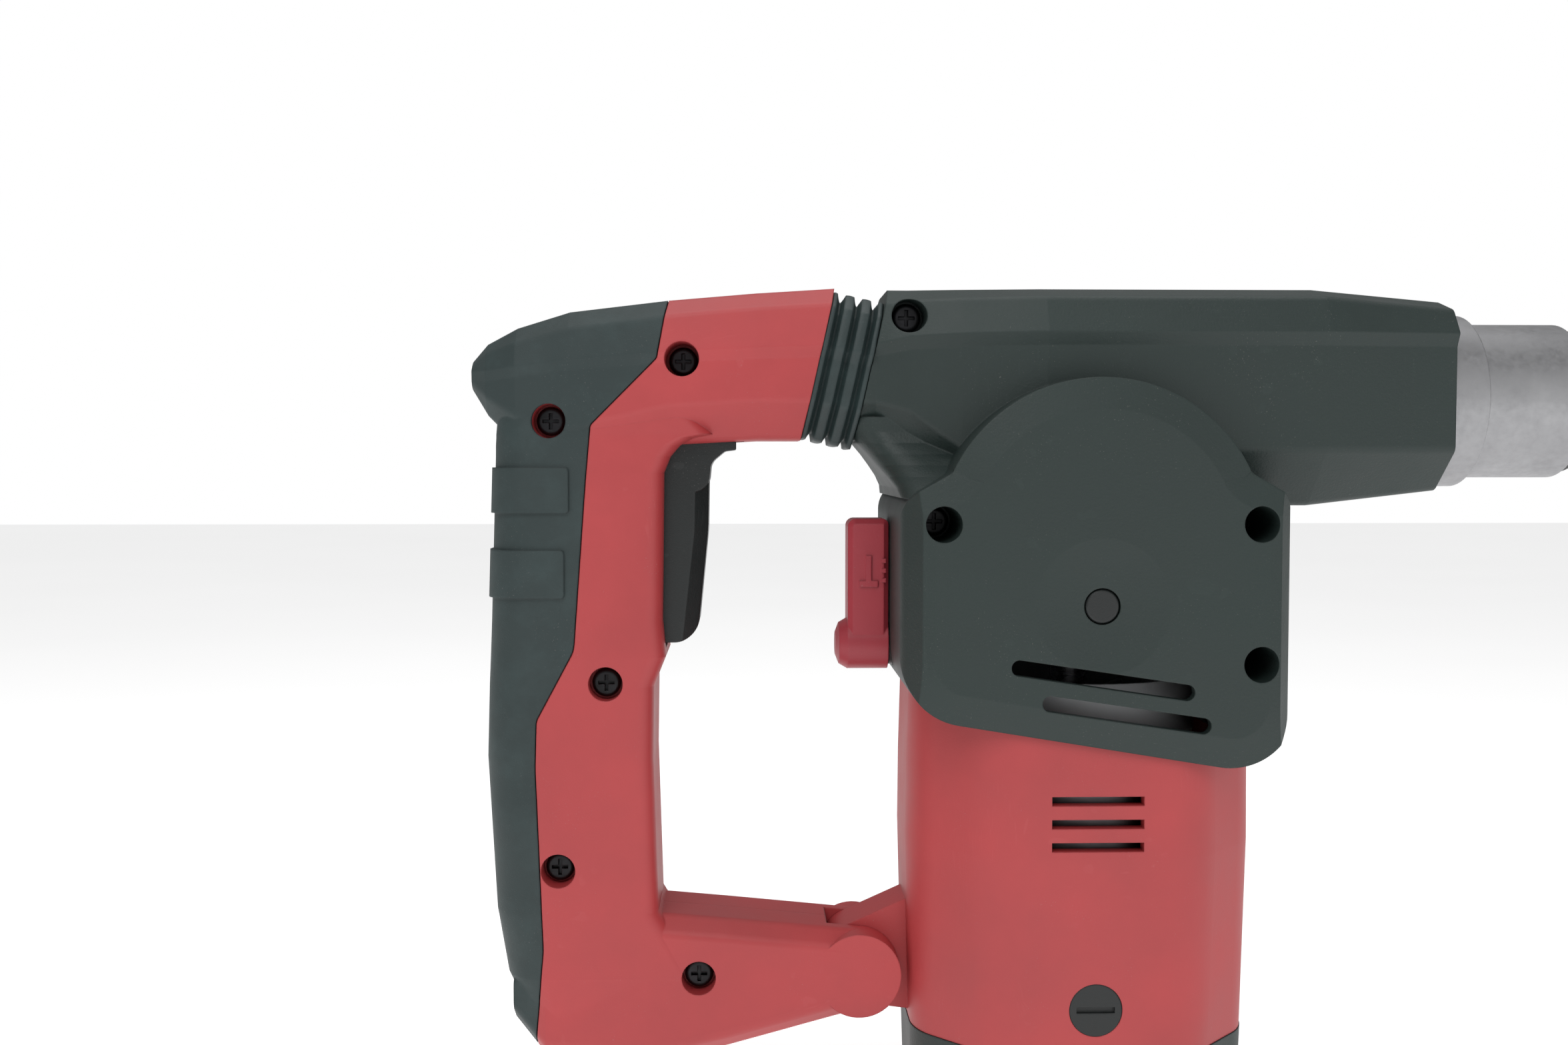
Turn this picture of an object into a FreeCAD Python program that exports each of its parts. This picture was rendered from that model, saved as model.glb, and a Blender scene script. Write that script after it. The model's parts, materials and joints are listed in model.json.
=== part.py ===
import FreeCAD, Part
import math
import os

from FreeCAD import Vector

# An L-shaped rotary hammer: a vertical motor under a horizontal striking mechanism, with a sprung
# D-handle behind. +X points out of the tool holder, +Z is up and +Y is the operator's left.
# Lengths are millimetres. The layout is drawn from the motor axis (X = 0) and the spindle axis (Z = 0).
# The last step moves every piece so that the origin lies at the mouth of the tool holder.

# ---- Overall layout ---------------------------------------------------------------------------
mouth_x = 204.0            # motor axis to the mouth of the tool holder
motor_bottom_z = -205.0    # lowest face, under the end cover
wall = 3.0                 # plastic shell thickness
fit_gap = 0.3              # clearance between pieces that move or are trapped between shells
running_gap = 0.05         # radial clearance of a shaft in its bearing

# ---- Gear housing -----------------------------------------------------------------------------
tower_half_length = 51.0   # motor axis to the rear and front walls
plate_half_length = 45.5   # the side plate's vertical edges
tower_half_width = 42.0
plate_rise = 2.0           # the inner side plate stands this far proud of its sloping margin
plate_margin = 8.0
tower_corner = 17.0        # radius of the lower corners in side view
tower_base_z = -90.7       # lower edge at the motor axis
tower_slope = 0.164        # the lower edge drops this much per millimetre forward
shoulder_z = -27.0         # where the tower's walls start to slope in
dome_centre_z = -36.0      # the side plates end in a round dome about this height
dome_radius = 42.5
dome_foot_x = 38.6         # where the dome meets the shoulders
dome_foot_z = -20.0
barrel_top_z = 29.5
barrel_half_width = 31.0
barrel_bore = 22.3         # radius of the passage for the striking mechanism
barrel_front_x = 98.0
nose_half_width = 27.0

# ---- Joint between handle and housing ----------------------------------------------------------
bellows_rear_x = -71.3     # at the height bellows_mid_z
bellows_front_x = -57.3
bellows_mid_z = 10.0
bellows_tilt = 12.6        # degrees, top forward
bellows_lip = 1.6
bellows_groove = 2.4       # depth of the folds
bellows_wall = 2.0

# ---- Handle ------------------------------------------------------------------------------------
handle_rear_x = -166.0
grip_front_x = -116.0
grip_half_width = 17.5
handle_wall = 2.6
lower_arm_top_z = -140.0
lower_arm_bottom_z = -176.0
lower_arm_half_width = 16.0
pivot_x = -60.0
pivot_z = -158.0
pivot_radius = 4.0
pivot_boss_radius = 11.0
lug_half_width = 7.0
overmould = 1.6            # thickness of the soft grip skin
joint_line = 0.3           # visible gap where the skin meets the shell
pad_rise = 0.8             # the two grip bands stand this proud

# ---- Trigger and switch ------------------------------------------------------------------------
trigger_half_width = 9.5
trigger_front_x = -101.2
trigger_bottom_z = -66.7
trigger_pivot_x = -99.0
trigger_pivot_z = -1.0
trigger_pin_radius = 2.0
trigger_travel_deg = 6.0

# ---- Mode selector -----------------------------------------------------------------------------
selector_z = -68.0
selector_hub_radius = 7.2
selector_hub_rear_x = -66.0
selector_front_x = -51.4
lever_top_z = -32.9
lever_half_width = 6.6
selector_disc_radius = 6.0
selector_shaft_radius = 3.5
selector_shaft_end_x = -44.0

# ---- Fasteners ---------------------------------------------------------------------------------
screw_radius = 1.9
screw_head_radius = 3.9
screw_head_height = 2.8
recess_radius = 4.65
boss_radius = 6.0
handle_screws = [(-143.9, -6.1, 9.0), (-108.1, 10.4, 13.0), (-128.9, -77.0, 6.0),
                 (-142.0, -128.0, 8.0), (-104.0, -158.0, 8.0)]
housing_screws = [(-47.5, 21.8, 12.0), (-40.7, -33.0, 24.0), (40.7, -33.0, 24.0), (41.0, -69.0, 24.0)]

# ---- Motor -------------------------------------------------------------------------------------
motor_half_length = 46.5
motor_half_width = 38.0
motor_top_z = -78.0
motor_overlap = 5.5        # the motor housing's rim sits this far inside the gear housing
motor_wall = 3.0
cover_top_z = -172.0
stator_radius = 33.5
stator_bore = 22.5
stator_top_z = -100.0
stator_bottom_z = -148.0
rotor_radius = 21.9
rotor_shaft_radius = 5.0
rotor_bearing_radius = 11.0
rotor_bearing_height = 8.0
upper_bearing_z = -66.0
lower_bearing_z = -186.0
fan_z = -90.0
fan_radius = 32.5
baffle_radius = 34.4
commutator_radius = 12.0
commutator_z = -168.0
brush_width = 6.0

# ---- Gears -------------------------------------------------------------------------------------
gear_module = 1.0
pressure_angle = 20.0
pinion_teeth = 9
crank_teeth = 33
lay_teeth = 31
gear_backlash = 0.25
gear_bottom_z = -52.0
gear_top_z = -42.0
deck_bottom_z = -62.0      # the gear case's floor, which carries the bearings
deck_top_z = -54.0
case_half_length = 42.0
case_half_width = 22.0
case_top_z = -28.0
case_low_top_z = -39.8     # the case is lower where the housing's screw bosses pass over it
case_neck_half = 33.8

# ---- Crank drive ------------------------------------------------------------------------------
crank_radius = 9.0
crank_disc_radius = 14.0
crank_disc_top_z = -6.0
crank_shaft_radius = 6.0
crank_pin_radius = 3.5
crank_pin_gap = 0.5        # the linkage is opened here: the pin ends just below the rod
con_rod_length = 48.0
con_rod_thickness = 8.0
wrist_pin_radius = 3.0
piston_radius = 12.95
piston_length = 34.0
cylinder_radius = 13.0

# ---- Bevel drive -------------------------------------------------------------------------------
bevel_pinion_teeth = 10
bevel_gear_teeth = 27
bevel_pinion_radius = 8.0  # pitch radius at the large end
bevel_face = 6.0

# ---- Spindle and tool holder -------------------------------------------------------------------
spindle_radius = 16.5
spindle_rear_x = 31.6
holder_radius = 12.0
bit_radius = 5.05
bit_guide_length = 20.0
bit_depth = 62.0
spring_rear_x = 150.4
spring_front_x = 157.9
spring_inner = 13.2
spring_outer = 16.0
ball_x = 166.0             # the locking balls drop into the tool's shank here
striker_radius = 12.9
collar_radius = 21.5
collar_rear_x = 108.0
collar_front_x = 136.0
sleeve_rear_x = 146.0
sleeve_front_x = 184.0
sleeve_radius = 21.0
sleeve_travel = 5.0
cap_front_x = 207.0

# ---- Side handle -------------------------------------------------------------------------------
band_thickness = 4.0
band_width = 18.0
band_mid_x = 124.0
side_grip_length = 112.0
side_grip_radius = 15.5
rod_radius = 3.0
rod_offset = 45.0
rod_rear_x = 56.0
rod_front_x = 202.0


# ---- Geometry helpers --------------------------------------------------------------------------
PLANES = {
    "xz": (lambda u, v, w: Vector(u, w, v), Vector(0, 1, 0)),
    "yz": (lambda u, v, w: Vector(w, u, v), Vector(1, 0, 0)),
    "xy": (lambda u, v, w: Vector(u, v, w), Vector(0, 0, 1)),
}


def unit(a, b):
    """Unit vector from a to b in a plane, and the distance."""
    length = math.hypot(b[0] - a[0], b[1] - a[1])
    return (b[0] - a[0]) / length, (b[1] - a[1]) / length, length


def rounded_wire(corners, plane, w):
    """Closed wire through corners (u, v, radius), each corner replaced by a tangent arc."""
    place = PLANES[plane][0]
    stops = []
    for i, (u, v, radius) in enumerate(corners):
        before, after = corners[i - 1], corners[(i + 1) % len(corners)]
        bu, bv, _ = unit((u, v), before)
        au, av, _ = unit((u, v), after)
        half = math.acos(max(-1.0, min(1.0, bu * au + bv * av))) / 2
        if radius <= 0 or half > math.radians(89.5):
            stops.append((place(u, v, w),) * 3)
            continue
        reach = radius / math.tan(half)
        su, sv = bu + au, bv + av
        norm = math.hypot(su, sv)
        depth = radius / math.sin(half) - radius
        stops.append((place(u + bu * reach, v + bv * reach, w),
                      place(u + su / norm * depth, v + sv / norm * depth, w),
                      place(u + au * reach, v + av * reach, w)))
    edges = []
    for i, (start, middle, end) in enumerate(stops):
        last = stops[i - 1][2]
        if last.distanceToPoint(start) > 1e-6:
            edges.append(Part.LineSegment(last, start).toShape())
        if start.distanceToPoint(end) > 1e-6:
            edges.append(Part.Arc(start, middle, end).toShape())
    return Part.Wire(edges)


def prism(corners, plane, low, high):
    """The rounded polygon, extruded from low to high along the plane's normal."""
    face = Part.Face(rounded_wire(corners, plane, low))
    return face.extrude(PLANES[plane][1] * (high - low))


def inset(corners, depth):
    """The polygon with every side moved inwards by depth; the corners run anticlockwise or clockwise."""
    area = sum(a[0] * b[1] - b[0] * a[1] for a, b in zip(corners, corners[1:] + corners[:1]))
    turn = 1 if area > 0 else -1
    moved = []
    for i, (u, v, radius) in enumerate(corners):
        before, after = corners[i - 1], corners[(i + 1) % len(corners)]
        au, av, _ = unit(before, (u, v))
        bu, bv, _ = unit((u, v), after)
        cross = au * bv - av * bu
        na, nb = (-av * turn, au * turn), (-bv * turn, bu * turn)
        if abs(cross) < 1e-9:
            moved.append((u + na[0] * depth, v + na[1] * depth, radius))
            continue
        shift = depth / (1 + na[0] * nb[0] + na[1] * nb[1])
        grown = radius - depth if cross * turn > 0 else radius + depth
        moved.append((u + (na[0] + nb[0]) * shift, v + (na[1] + nb[1]) * shift, max(grown, 0.0)))
    return moved


def mirrored(half):
    """Both sides of a section given as (half-width, height, radius) from the top down."""
    return list(half) + [(-u, v, r) for u, v, r in reversed(half)]


def section_loft(stations):
    """Ruled solid through YZ sections, each given as (x, half section)."""
    return Part.makeLoft([rounded_wire(mirrored(half), "yz", x) for x, half in stations], True, True)


def plan_loft(stations):
    """Ruled solid through XY sections, each given as (z, corners)."""
    return Part.makeLoft([rounded_wire(corners, "xy", z) for z, corners in stations], True, True)


def cylinder(axis, radius, low, high, u=0.0, v=0.0):
    """Cylinder along an axis from low to high; u and v place it in the plane across the axis."""
    direction = {"x": Vector(1, 0, 0), "y": Vector(0, 1, 0), "z": Vector(0, 0, 1)}[axis]
    base = {"x": Vector(low, u, v), "y": Vector(u, low, v), "z": Vector(u, v, low)}[axis]
    return Part.makeCylinder(radius, high - low, base, direction)


def tube(axis, outer, inner, low, high, u=0.0, v=0.0):
    """Cylinder with a bore right through it."""
    return cylinder(axis, outer, low, high, u, v).cut(cylinder(axis, inner, low - 1, high + 1, u, v))


def box(x, y, z):
    """Block between pairs of limits."""
    return Part.makeBox(x[1] - x[0], y[1] - y[0], z[1] - z[0], Vector(x[0], y[0], z[0]))


def turned(profile, axis="x", u=0.0, v=0.0):
    """Solid of revolution; the profile is a closed list of (along, radius) about the axis."""
    if axis == "x":
        points = [Vector(a, u, v + r) for a, r in profile]
        spin = (Vector(0, u, v), Vector(1, 0, 0))
    else:
        points = [Vector(u + r, v, a) for a, r in profile]
        spin = (Vector(u, v, 0), Vector(0, 0, 1))
    face = Part.Face(Part.makePolygon(points + points[:1]))
    return face.revolve(spin[0], spin[1], 360)


def fuse(shapes):
    """One solid from shapes that touch or overlap."""
    joined = shapes[0]
    return joined.multiFuse(shapes[1:]).removeSplitter() if len(shapes) > 1 else joined


def cut(shape, tools):
    """Shape less every tool."""
    return shape.cut(Part.makeCompound(list(tools)))


def halves(shape):
    """The two shells of a shape that parts at Y = 0: operator's right, then left."""
    reach = 300.0
    right = shape.common(box((-reach, reach), (-reach, 0), (-reach, reach)))
    left = shape.common(box((-reach, reach), (0, reach), (-reach, reach)))
    return right, left


def tilted(shape):
    """A shape drawn upright at the bellows, leaned by the bellows' tilt."""
    leaned = shape.copy()
    leaned.rotate(Vector(bellows_rear_x, 0, bellows_mid_z), Vector(0, 1, 0), bellows_tilt)
    return leaned


# ---- Sections shared by the arm, the bellows and the neck --------------------------------------
def arm_section(shrink=0.0, drop=0.0):
    """Half section of the handle's upper arm: sloping top edge, proud upper rail, flat side, keel."""
    half = [(12.0, 29.5 - drop, 3.0), (18.5, 25.0 - drop, 1.5), (20.5, 14.4 - drop * 0.8, 0.6),
            (18.8, 11.2 - drop * 0.6, 0.6), (18.8, -1.0, 3.0), (11.0, -11.3, 4.0)]
    middle = 9.0
    scale = 1 - shrink / 20.0
    return [(u * scale, middle + (v - middle) * scale, r) for u, v, r in half]


def barrel_section(half_width, drop=0.0, ease=0.0, skirt=-14.0):
    """Half section of the gear housing's barrel; skirt is the lower edge of its flat side."""
    rail = 1.6
    keel = min(-half_width + 2.0, skirt - 6.0)
    return [(half_width * 0.5, barrel_top_z - drop, 4.0), (half_width - 4.0, 26.5 - drop - ease, 3.0),
            (half_width, 17.0 - ease, 0.6), (half_width - rail, 13.5 - ease, 0.6),
            (half_width - rail, skirt, 3.0), (half_width * 0.5, keel, 4.0)]


# ---- Gear housing ------------------------------------------------------------------------------
def tower_outline():
    """Side view of the tower: straight walls, short shoulders, a round dome, falling lower edge."""
    rise = tower_slope * tower_half_length
    slope = dome_foot_x / math.hypot(dome_foot_x, dome_foot_z - dome_centre_z)
    apex = dome_centre_z + dome_radius / math.sin(math.acos(slope) if slope < 1 else 0.1)
    return [(-tower_half_length, tower_base_z + rise, tower_corner),
            (tower_half_length, tower_base_z - rise, tower_corner),
            (tower_half_length, shoulder_z, 8.6), (dome_foot_x, dome_foot_z, 3.0),
            (0.0, apex, dome_radius),
            (-dome_foot_x, dome_foot_z, 3.0), (-tower_half_length, shoulder_z, 8.6)]


def tower_plan():
    """Plan view of the tower: flat end walls whose corners turn into crisp-edged side plates."""
    end_flat = tower_half_width - 8.0
    quarter = [(tower_half_length, end_flat, 8.0), (plate_half_length, tower_half_width, 0.8)]
    front = quarter + [(-x, y, r) for x, y, r in reversed(quarter)]
    return front + [(-x, -y, r) for x, y, r in front]


def tower(depth=0.0):
    """The tower's solid, or its cavity when depth is the wall."""
    side = prism(inset(tower_outline(), depth), "xz", -tower_half_width, tower_half_width)
    plan = prism(inset(tower_plan(), depth), "xy", -140, 40)
    return side.common(plan)


def side_plate_relief():
    """Cuts that slope the margin of both side plates away from the proud inner plate."""
    outer = tower_outline()
    cuts = []
    for side in (-1, 1):
        face = side * tower_half_width
        low = side * (tower_half_width - plate_rise)
        grown = rounded_wire(inset(outer, -plate_margin), "xz", low - side * plate_rise)
        inner = rounded_wire(inset(outer, plate_margin), "xz", face)
        frustum = Part.makeLoft([grown, inner], True, True)
        reach = 90.0
        slab = box((-reach, reach), sorted((face - side * 3.0, face + side * 3.0)), (-140, 40))
        keep = frustum.fuse(box((-reach, reach), sorted((0, low - side * plate_rise)), (-140, 40)))
        cuts.append(slab.cut(keep))
    return cuts


def barrel():
    """Neck, flare, barrel and nose of the housing, as one ruled solid."""
    return section_loft([(-78.0, arm_section()), (-56.0, arm_section()),
                         (-47.0, barrel_section(23.5, 0.0, 0.8, -3.5)),
                         (-40.0, barrel_section(25.5, 0.0, 0.5, -9.0)),
                         (-34.0, barrel_section(27.0, 0.0, 0.3, -13.5)),
                         (-12.0, barrel_section(barrel_half_width)),
                         (62.0, barrel_section(barrel_half_width)),
                         (barrel_front_x, barrel_section(nose_half_width, 3.0))])


def saddle():
    """The flared underside that carries the neck down onto the tower's rear wall."""
    def plan(rear_x, half_width, corner):
        return [(rear_x, -half_width, corner), (-10.0, -half_width, corner),
                (-10.0, half_width, corner), (rear_x, half_width, corner)]
    rows = [(-5.0, -64.5, 17.6, 9.0), (-9.0, -62.7, 18.2, 9.0), (-12.0, -60.7, 19.6, 10.0),
            (-15.0, -58.0, 22.2, 11.0), (-18.0, -55.6, 25.8, 12.0), (-21.0, -53.2, 30.6, 12.0),
            (-24.0, -51.3, 36.2, 11.0), (-26.5, -50.6, 39.6, 9.0)]
    return plan_loft([(z, plan(x, wide, corner)) for z, x, wide, corner in rows])


def neck_collar():
    """Raised rim of the neck that the bellows seats against."""
    rim = section_loft([(bellows_rear_x + 13.9, arm_section(-1.2)), (bellows_rear_x + 22.0, arm_section(-1.2))])
    top = box((-80, -30), (-30, 30), (24.0, 40.0))
    return tilted(rim).common(top)


def housing_cavity():
    """Everything hollow inside the gear housing."""
    neck = box((-90, -20), (-14.0, 14.0), (-7.0, 22.0))
    throat = cylinder("x", 19.0, -38.0, barrel_front_x)
    passage = cylinder("x", barrel_bore, -12.0, barrel_front_x + 1)
    return [tower(wall), neck, throat, passage]


def motor_opening(depth):
    """Plan outline of the motor housing, grown outwards by depth."""
    half = [(motor_half_length, 18.0, 18.0), (26.0, motor_half_width, 20.0)]
    front = half + [(-x, y, r) for x, y, r in reversed(half)]
    return inset(front + [(-x, -y, r) for x, y, r in front], -depth)


def above_rim(overlap):
    """Everything above a plane that lies parallel to the tower's lower edge, inside it by the overlap."""
    z = tower_base_z + overlap
    reach = 90.0
    return prism([(-reach, z + tower_slope * reach, 0), (reach, z - tower_slope * reach, 0), (reach, 60.0, 0),
                  (-reach, 60.0, 0)], "xz", -60.0, 60.0)


def vent_slots(side):
    """Two rows of exhaust slots that follow the lower edge, cut through one side plate."""
    slots = []
    for x0, x1, z0 in ((-21.3, 21.7, -69.3), (-13.3, 26.0, -77.2)):
        height = 4.2
        corners = [(x0 - height / 2, z0 - height / 2 - tower_slope * (x0 + 21.7), 2.05),
                   (x1 + height / 2, z0 - height / 2 - tower_slope * (x1 + 21.7), 2.05),
                   (x1 + height / 2, z0 + height / 2 - tower_slope * (x1 + 21.7), 2.05),
                   (x0 - height / 2, z0 + height / 2 - tower_slope * (x0 + 21.7), 2.05)]
        slots.append(prism(corners, "xz", *sorted((side * (tower_half_width - 8), side * (tower_half_width + 2)))))
    return slots


plug_radius = 4.4
plug_z = -54.0
dish_radius = 17.5
dish_depth = 1.2


def dish(side):
    """Shallow round dish around the plug, as a slice of a large ball."""
    ball = (dish_radius ** 2 + dish_depth ** 2) / (2 * dish_depth)
    centre = Vector(0.0, side * (tower_half_width + ball - dish_depth), plug_z)
    return Part.makeSphere(ball, centre)


def plug(side):
    """Round plug that closes the grease opening in the dish."""
    seat = tower_half_width - dish_depth
    disc = cylinder("y", plug_radius, seat - 3.0, seat + 0.1, 0.0, plug_z)
    disc = disc.makeChamfer(0.4, [e for e in disc.Edges if e.BoundBox.YMin > seat])
    flange = cylinder("y", plug_radius + 1.2, tower_half_width - wall - dish_depth - 1.6,
                      tower_half_width - wall - dish_depth - 0.1, 0.0, plug_z)
    whole = disc.fuse(flange).fuse(cylinder("y", plug_radius, seat - 4.0, seat - 2.9, 0.0, plug_z))
    whole = whole.removeSplitter()
    return whole if side > 0 else whole.mirror(Vector(0, 0, 0), Vector(0, 1, 0))


def screw_at(x, z, head_y, tip_y):
    """Cross-headed screw along +Y, its head facing the operator's right."""
    head = cylinder("y", screw_head_radius, head_y - screw_head_height, head_y, x, z)
    head = head.makeFillet(1.1, [e for e in head.Edges if e.BoundBox.YMax < head_y - 0.1
                                 and e.BoundBox.XLength > 1])
    slot_deep, slot_wide, slot_long = 1.5, 0.9, 2.2
    face = head_y - screw_head_height
    for a, b in ((slot_long, slot_wide / 2), (slot_wide / 2, slot_long)):
        head = head.cut(box((x - a, x + a), (face - 1, face + slot_deep), (z - b, z + b)))
    shank = cylinder("y", screw_radius, head_y - 0.2, tip_y, x, z)
    return head.fuse(shank).removeSplitter()


def screw_seats(screws, depth_to_tip):
    """Head depths: each screw's head seat lies its own depth below the part's half width."""
    return [(x, z, -seat, -seat + depth_to_tip) for x, z, seat in screws]


def boss(x, z, low, high, radius=boss_radius):
    """Screw boss along Y."""
    return cylinder("y", radius, low, high, x, z)


def housing_half_width(x, z):
    """Half width of the gear housing's outer face where a screw enters."""
    if z < 0:
        return tower_half_width
    along = min(max((x + 56.0) / 44.0, 0.0), 1.0)
    return 20.5 + (barrel_half_width - 20.5) * along


def build_housing():
    """Right and left gear housing shells with bosses, recesses, vents, dish and selector pocket."""
    behind = box((bellows_rear_x - 60.0, bellows_front_x), (-60, 60), (-30, 70))
    outer = fuse([tower(), barrel(), saddle(), neck_collar()])
    outer = cut(outer, side_plate_relief() + [dish(-1), dish(1), tilted(behind)])
    shell = cut(outer, housing_cavity())
    seats = []
    bosses = []
    for x, z, depth in housing_screws:
        face = housing_half_width(x, z)
        seats.append((x, z, -(face - depth)))
        bosses.append(boss(x, z, -face, face).common(outer))
    shell = fuse([shell] + bosses)
    shell = cut(shell, [cylinder("x", 15.0, 20.0, barrel_front_x + 1)])
    opening = prism(motor_opening(0.7), "xy", -140, motor_top_z + 4.0)
    cuts = [opening.cut(above_rim(motor_overlap + 0.2))]
    side = case_half_width + 0.6
    cuts.append(box((-case_half_length - 0.6, case_half_length + 0.6), (-side, side), (-75.0, case_low_top_z + 0.6)))
    cuts.append(box((-case_neck_half - 0.6, case_half_length + 0.6), (-side, side), (-75.0, case_top_z + 0.6)))
    cuts.append(box((32.4, case_half_length + 0.6), (-16.6, 16.6), (-40.0, -9.5)))
    cuts.append(cylinder("x", selector_disc_radius + fit_gap, -53.0, -tower_half_length + 2.2, 0.0, selector_z))
    cuts.append(cylinder("x", selector_shaft_radius + fit_gap, -54.0, -30.0, 0.0, selector_z))
    for side in (-1, 1):
        cuts += vent_slots(side)
        cuts.append(cylinder("y", plug_radius + fit_gap, *sorted((side * 30.0, side * 45.0)), 0.0, plug_z))
    for x, z, head_y in seats:
        cuts.append(cylinder("y", recess_radius, -60.0, head_y, x, z))
        cuts.append(cylinder("y", screw_radius + fit_gap, head_y - 1, 0.0, x, z))
        cuts.append(cylinder("y", screw_radius + running_gap, -0.5, 16.5, x, z))
    shell = cut(shell, cuts)
    screws = [screw_at(x, z, head_y, 16.0) for x, z, head_y in seats]
    return halves(shell) + (Part.makeCompound(screws),)


def largest(shape):
    """The biggest solid of a result, without the offcuts."""
    return max(shape.Solids, key=lambda s: s.Volume)


# ---- Handle ------------------------------------------------------------------------------------
def hand_section(top, flat, edge, rail, ledge, side, skirt, bottom):
    """Half section of the handle: flat top, chamfer, proud rail, ledge, flat side and keel."""
    return [(flat, top, 3.0), (rail - 1.5, edge, 2.0), (rail, ledge + 3.0, 0.7),
            (side, ledge, 0.7), (side, skirt, 3.0), (side * 0.6, bottom, 3.5)]


def arm_stations():
    """Sections along the upper arm, from its nose to the bellows."""
    return [(-166.0, hand_section(10.5, 3.6, 9.2, 6.8, 4.8, 6.6, 4.0, 2.4)),
            (-161.5, hand_section(15.0, 6.5, 12.0, 11.8, 4.6, 11.4, 0.5, -4.6)),
            (-153.0, hand_section(19.2, 9.0, 14.8, 16.0, 5.6, 15.4, -5.0, -13.0)),
            (-138.6, hand_section(23.5, 10.5, 18.6, 18.0, 7.4, 17.2, -8.0, -20.0)),
            (-112.0, hand_section(26.6, 11.5, 22.0, 19.4, 9.4, 18.2, -2.0, -12.6)),
            (-88.0, hand_section(28.6, 12.0, 24.0, 20.2, 10.4, 18.7, -0.6, -11.3)),
            (-58.0, hand_section(30.5, 12.0, 25.8, 20.6, 11.4, 18.8, -1.0, -11.3))]


def grip_stations():
    """Heights down the grip with the rear and front of each plan section and its half width."""
    return [(4.0, -158.5, -112.0, 14.5), (-9.6, -159.4, -100.0, 16.6), (-10.6, -159.4, -105.2, 16.7),
            (-12.6, -159.5, -108.8, 16.8), (-15.6, -159.5, -111.4, 17.0), (-20.0, -159.6, -113.2, 17.2),
            (-60.0, -160.8, -113.7, 17.5), (-70.0, -161.2, -112.8, 17.5), (-78.0, -161.6, -116.0, 17.3),
            (-98.0, -162.2, -116.3, 17.2), (-140.0, -160.0, -115.0, 16.8), (-158.0, -157.0, -104.0, 16.4),
            (-176.0, -149.0, -100.0, 14.5)]


def lower_stations():
    """Sections along the lower arm, from the pivot back to the heel of the grip."""
    rows = [(-155.0, -156.0, -172.0, 12.0), (-146.0, -146.0, -182.0, 15.0), (-118.0, -141.0, -184.0, 16.4),
            (-96.0, -143.0, -179.0, 16.2), (pivot_x, pivot_z + 11.5, pivot_z - 11.5, 15.8)]
    stations = []
    for x, top, bottom, wide in rows:
        stations.append((x, [(wide - 5.0, top, 3.0), (wide, top - 4.0, 3.0),
                             (wide, bottom + 5.0, 4.0), (wide - 6.0, bottom, 4.0)]))
    return stations


def shrunk(stations, depth):
    """The stations of a YZ loft with every section moved in by depth and without the rail."""
    if not depth:
        return stations
    result = []
    for i, (x, half) in enumerate(stations):
        if len(half) == 6:
            half = [half[0], (half[3][0], half[1][1], 2.0), half[4], half[5]]
        moved = inset(mirrored(half), depth)[:len(half)]
        moved = [(u, v, 0.3 if r0 < 1 else max(r0 - depth, 0.6)) for (u, v, r), (_, _, r0) in zip(moved, half)]
        result.append((x + depth if i == 0 else x, moved))
    return result


def handle_solid(depth=0.0):
    """The D-handle's outer form, or the same form moved in by depth."""
    arm = section_loft(shrunk(arm_stations()[1:] if depth else arm_stations(), depth))
    grip = []
    for z, rear, front, wide in grip_stations():
        r0, f0, w0 = rear + depth, front - depth, wide - depth
        grip.append((z, [(r0, -w0, 11.0), (f0, -w0, 4.5), (f0, w0, 4.5), (r0, w0, 11.0)]))
    low = section_loft(shrunk(lower_stations(), depth))
    boss_end = cylinder("y", pivot_boss_radius + 0.5 - depth, -15.8 + depth, 15.8 - depth, pivot_x, pivot_z)
    return fuse([arm, plan_loft(grip), low, boss_end])


def grip_region(gap=0.0):
    """Side view of the area that the soft skin covers, moved in by a gap for the joint line."""
    corners = [(-180.0, 60.0, 0), (-111.6, 60.0, 0), (-111.8, 26.0, 0), (-114.6, 10.6, 2.0),
               (-132.6, -7.4, 2.0), (-134.0, -24.0, 30.0), (-137.2, -68.0, 8.0), (-147.4, -87.0, 4.0),
               (-147.8, -100.0, 20.0), (-146.0, -150.0, 20.0), (-149.0, -182.0, 0), (-180.0, -182.0, 0)]
    return prism(inset(corners, gap) if gap else corners, "xz", -60.0, 60.0)


def grip_pads():
    """The two raised bands that wrap the rear of the grip."""
    bands = []
    for low, high, front in ((-30.9, -18.6, -138.5), (-53.8, -40.8, -139.8)):
        full = []
        for z, rear, fore, wide in grip_stations():
            r0, w0 = rear - pad_rise, wide + pad_rise
            full.append((z, [(r0, -w0, 11.0), (fore, -w0, 8.0), (fore, w0, 8.0), (r0, w0, 11.0)]))
        band = prism([(-170.0, low, 0), (front, low, 1.0), (front, high, 1.0), (-170.0, high, 0)], "xz", -40, 40)
        bands.append(plan_loft(full).common(band))
    return bands


def bellows_cut(side):
    """Everything in front of (+1) or behind (-1) the bellows, in its tilted frame."""
    reach = 80.0
    rear = bellows_rear_x - fit_gap / 3
    limits = (rear, rear + reach) if side > 0 else (rear - reach, rear)
    return tilted(box(limits, (-60, 60), (-30, 70)))


def switch_box():
    """Limits of the switch module inside the grip."""
    return (-155.0, -134.0), (-9.0, 9.0), (-62.0, -16.0)


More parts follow.
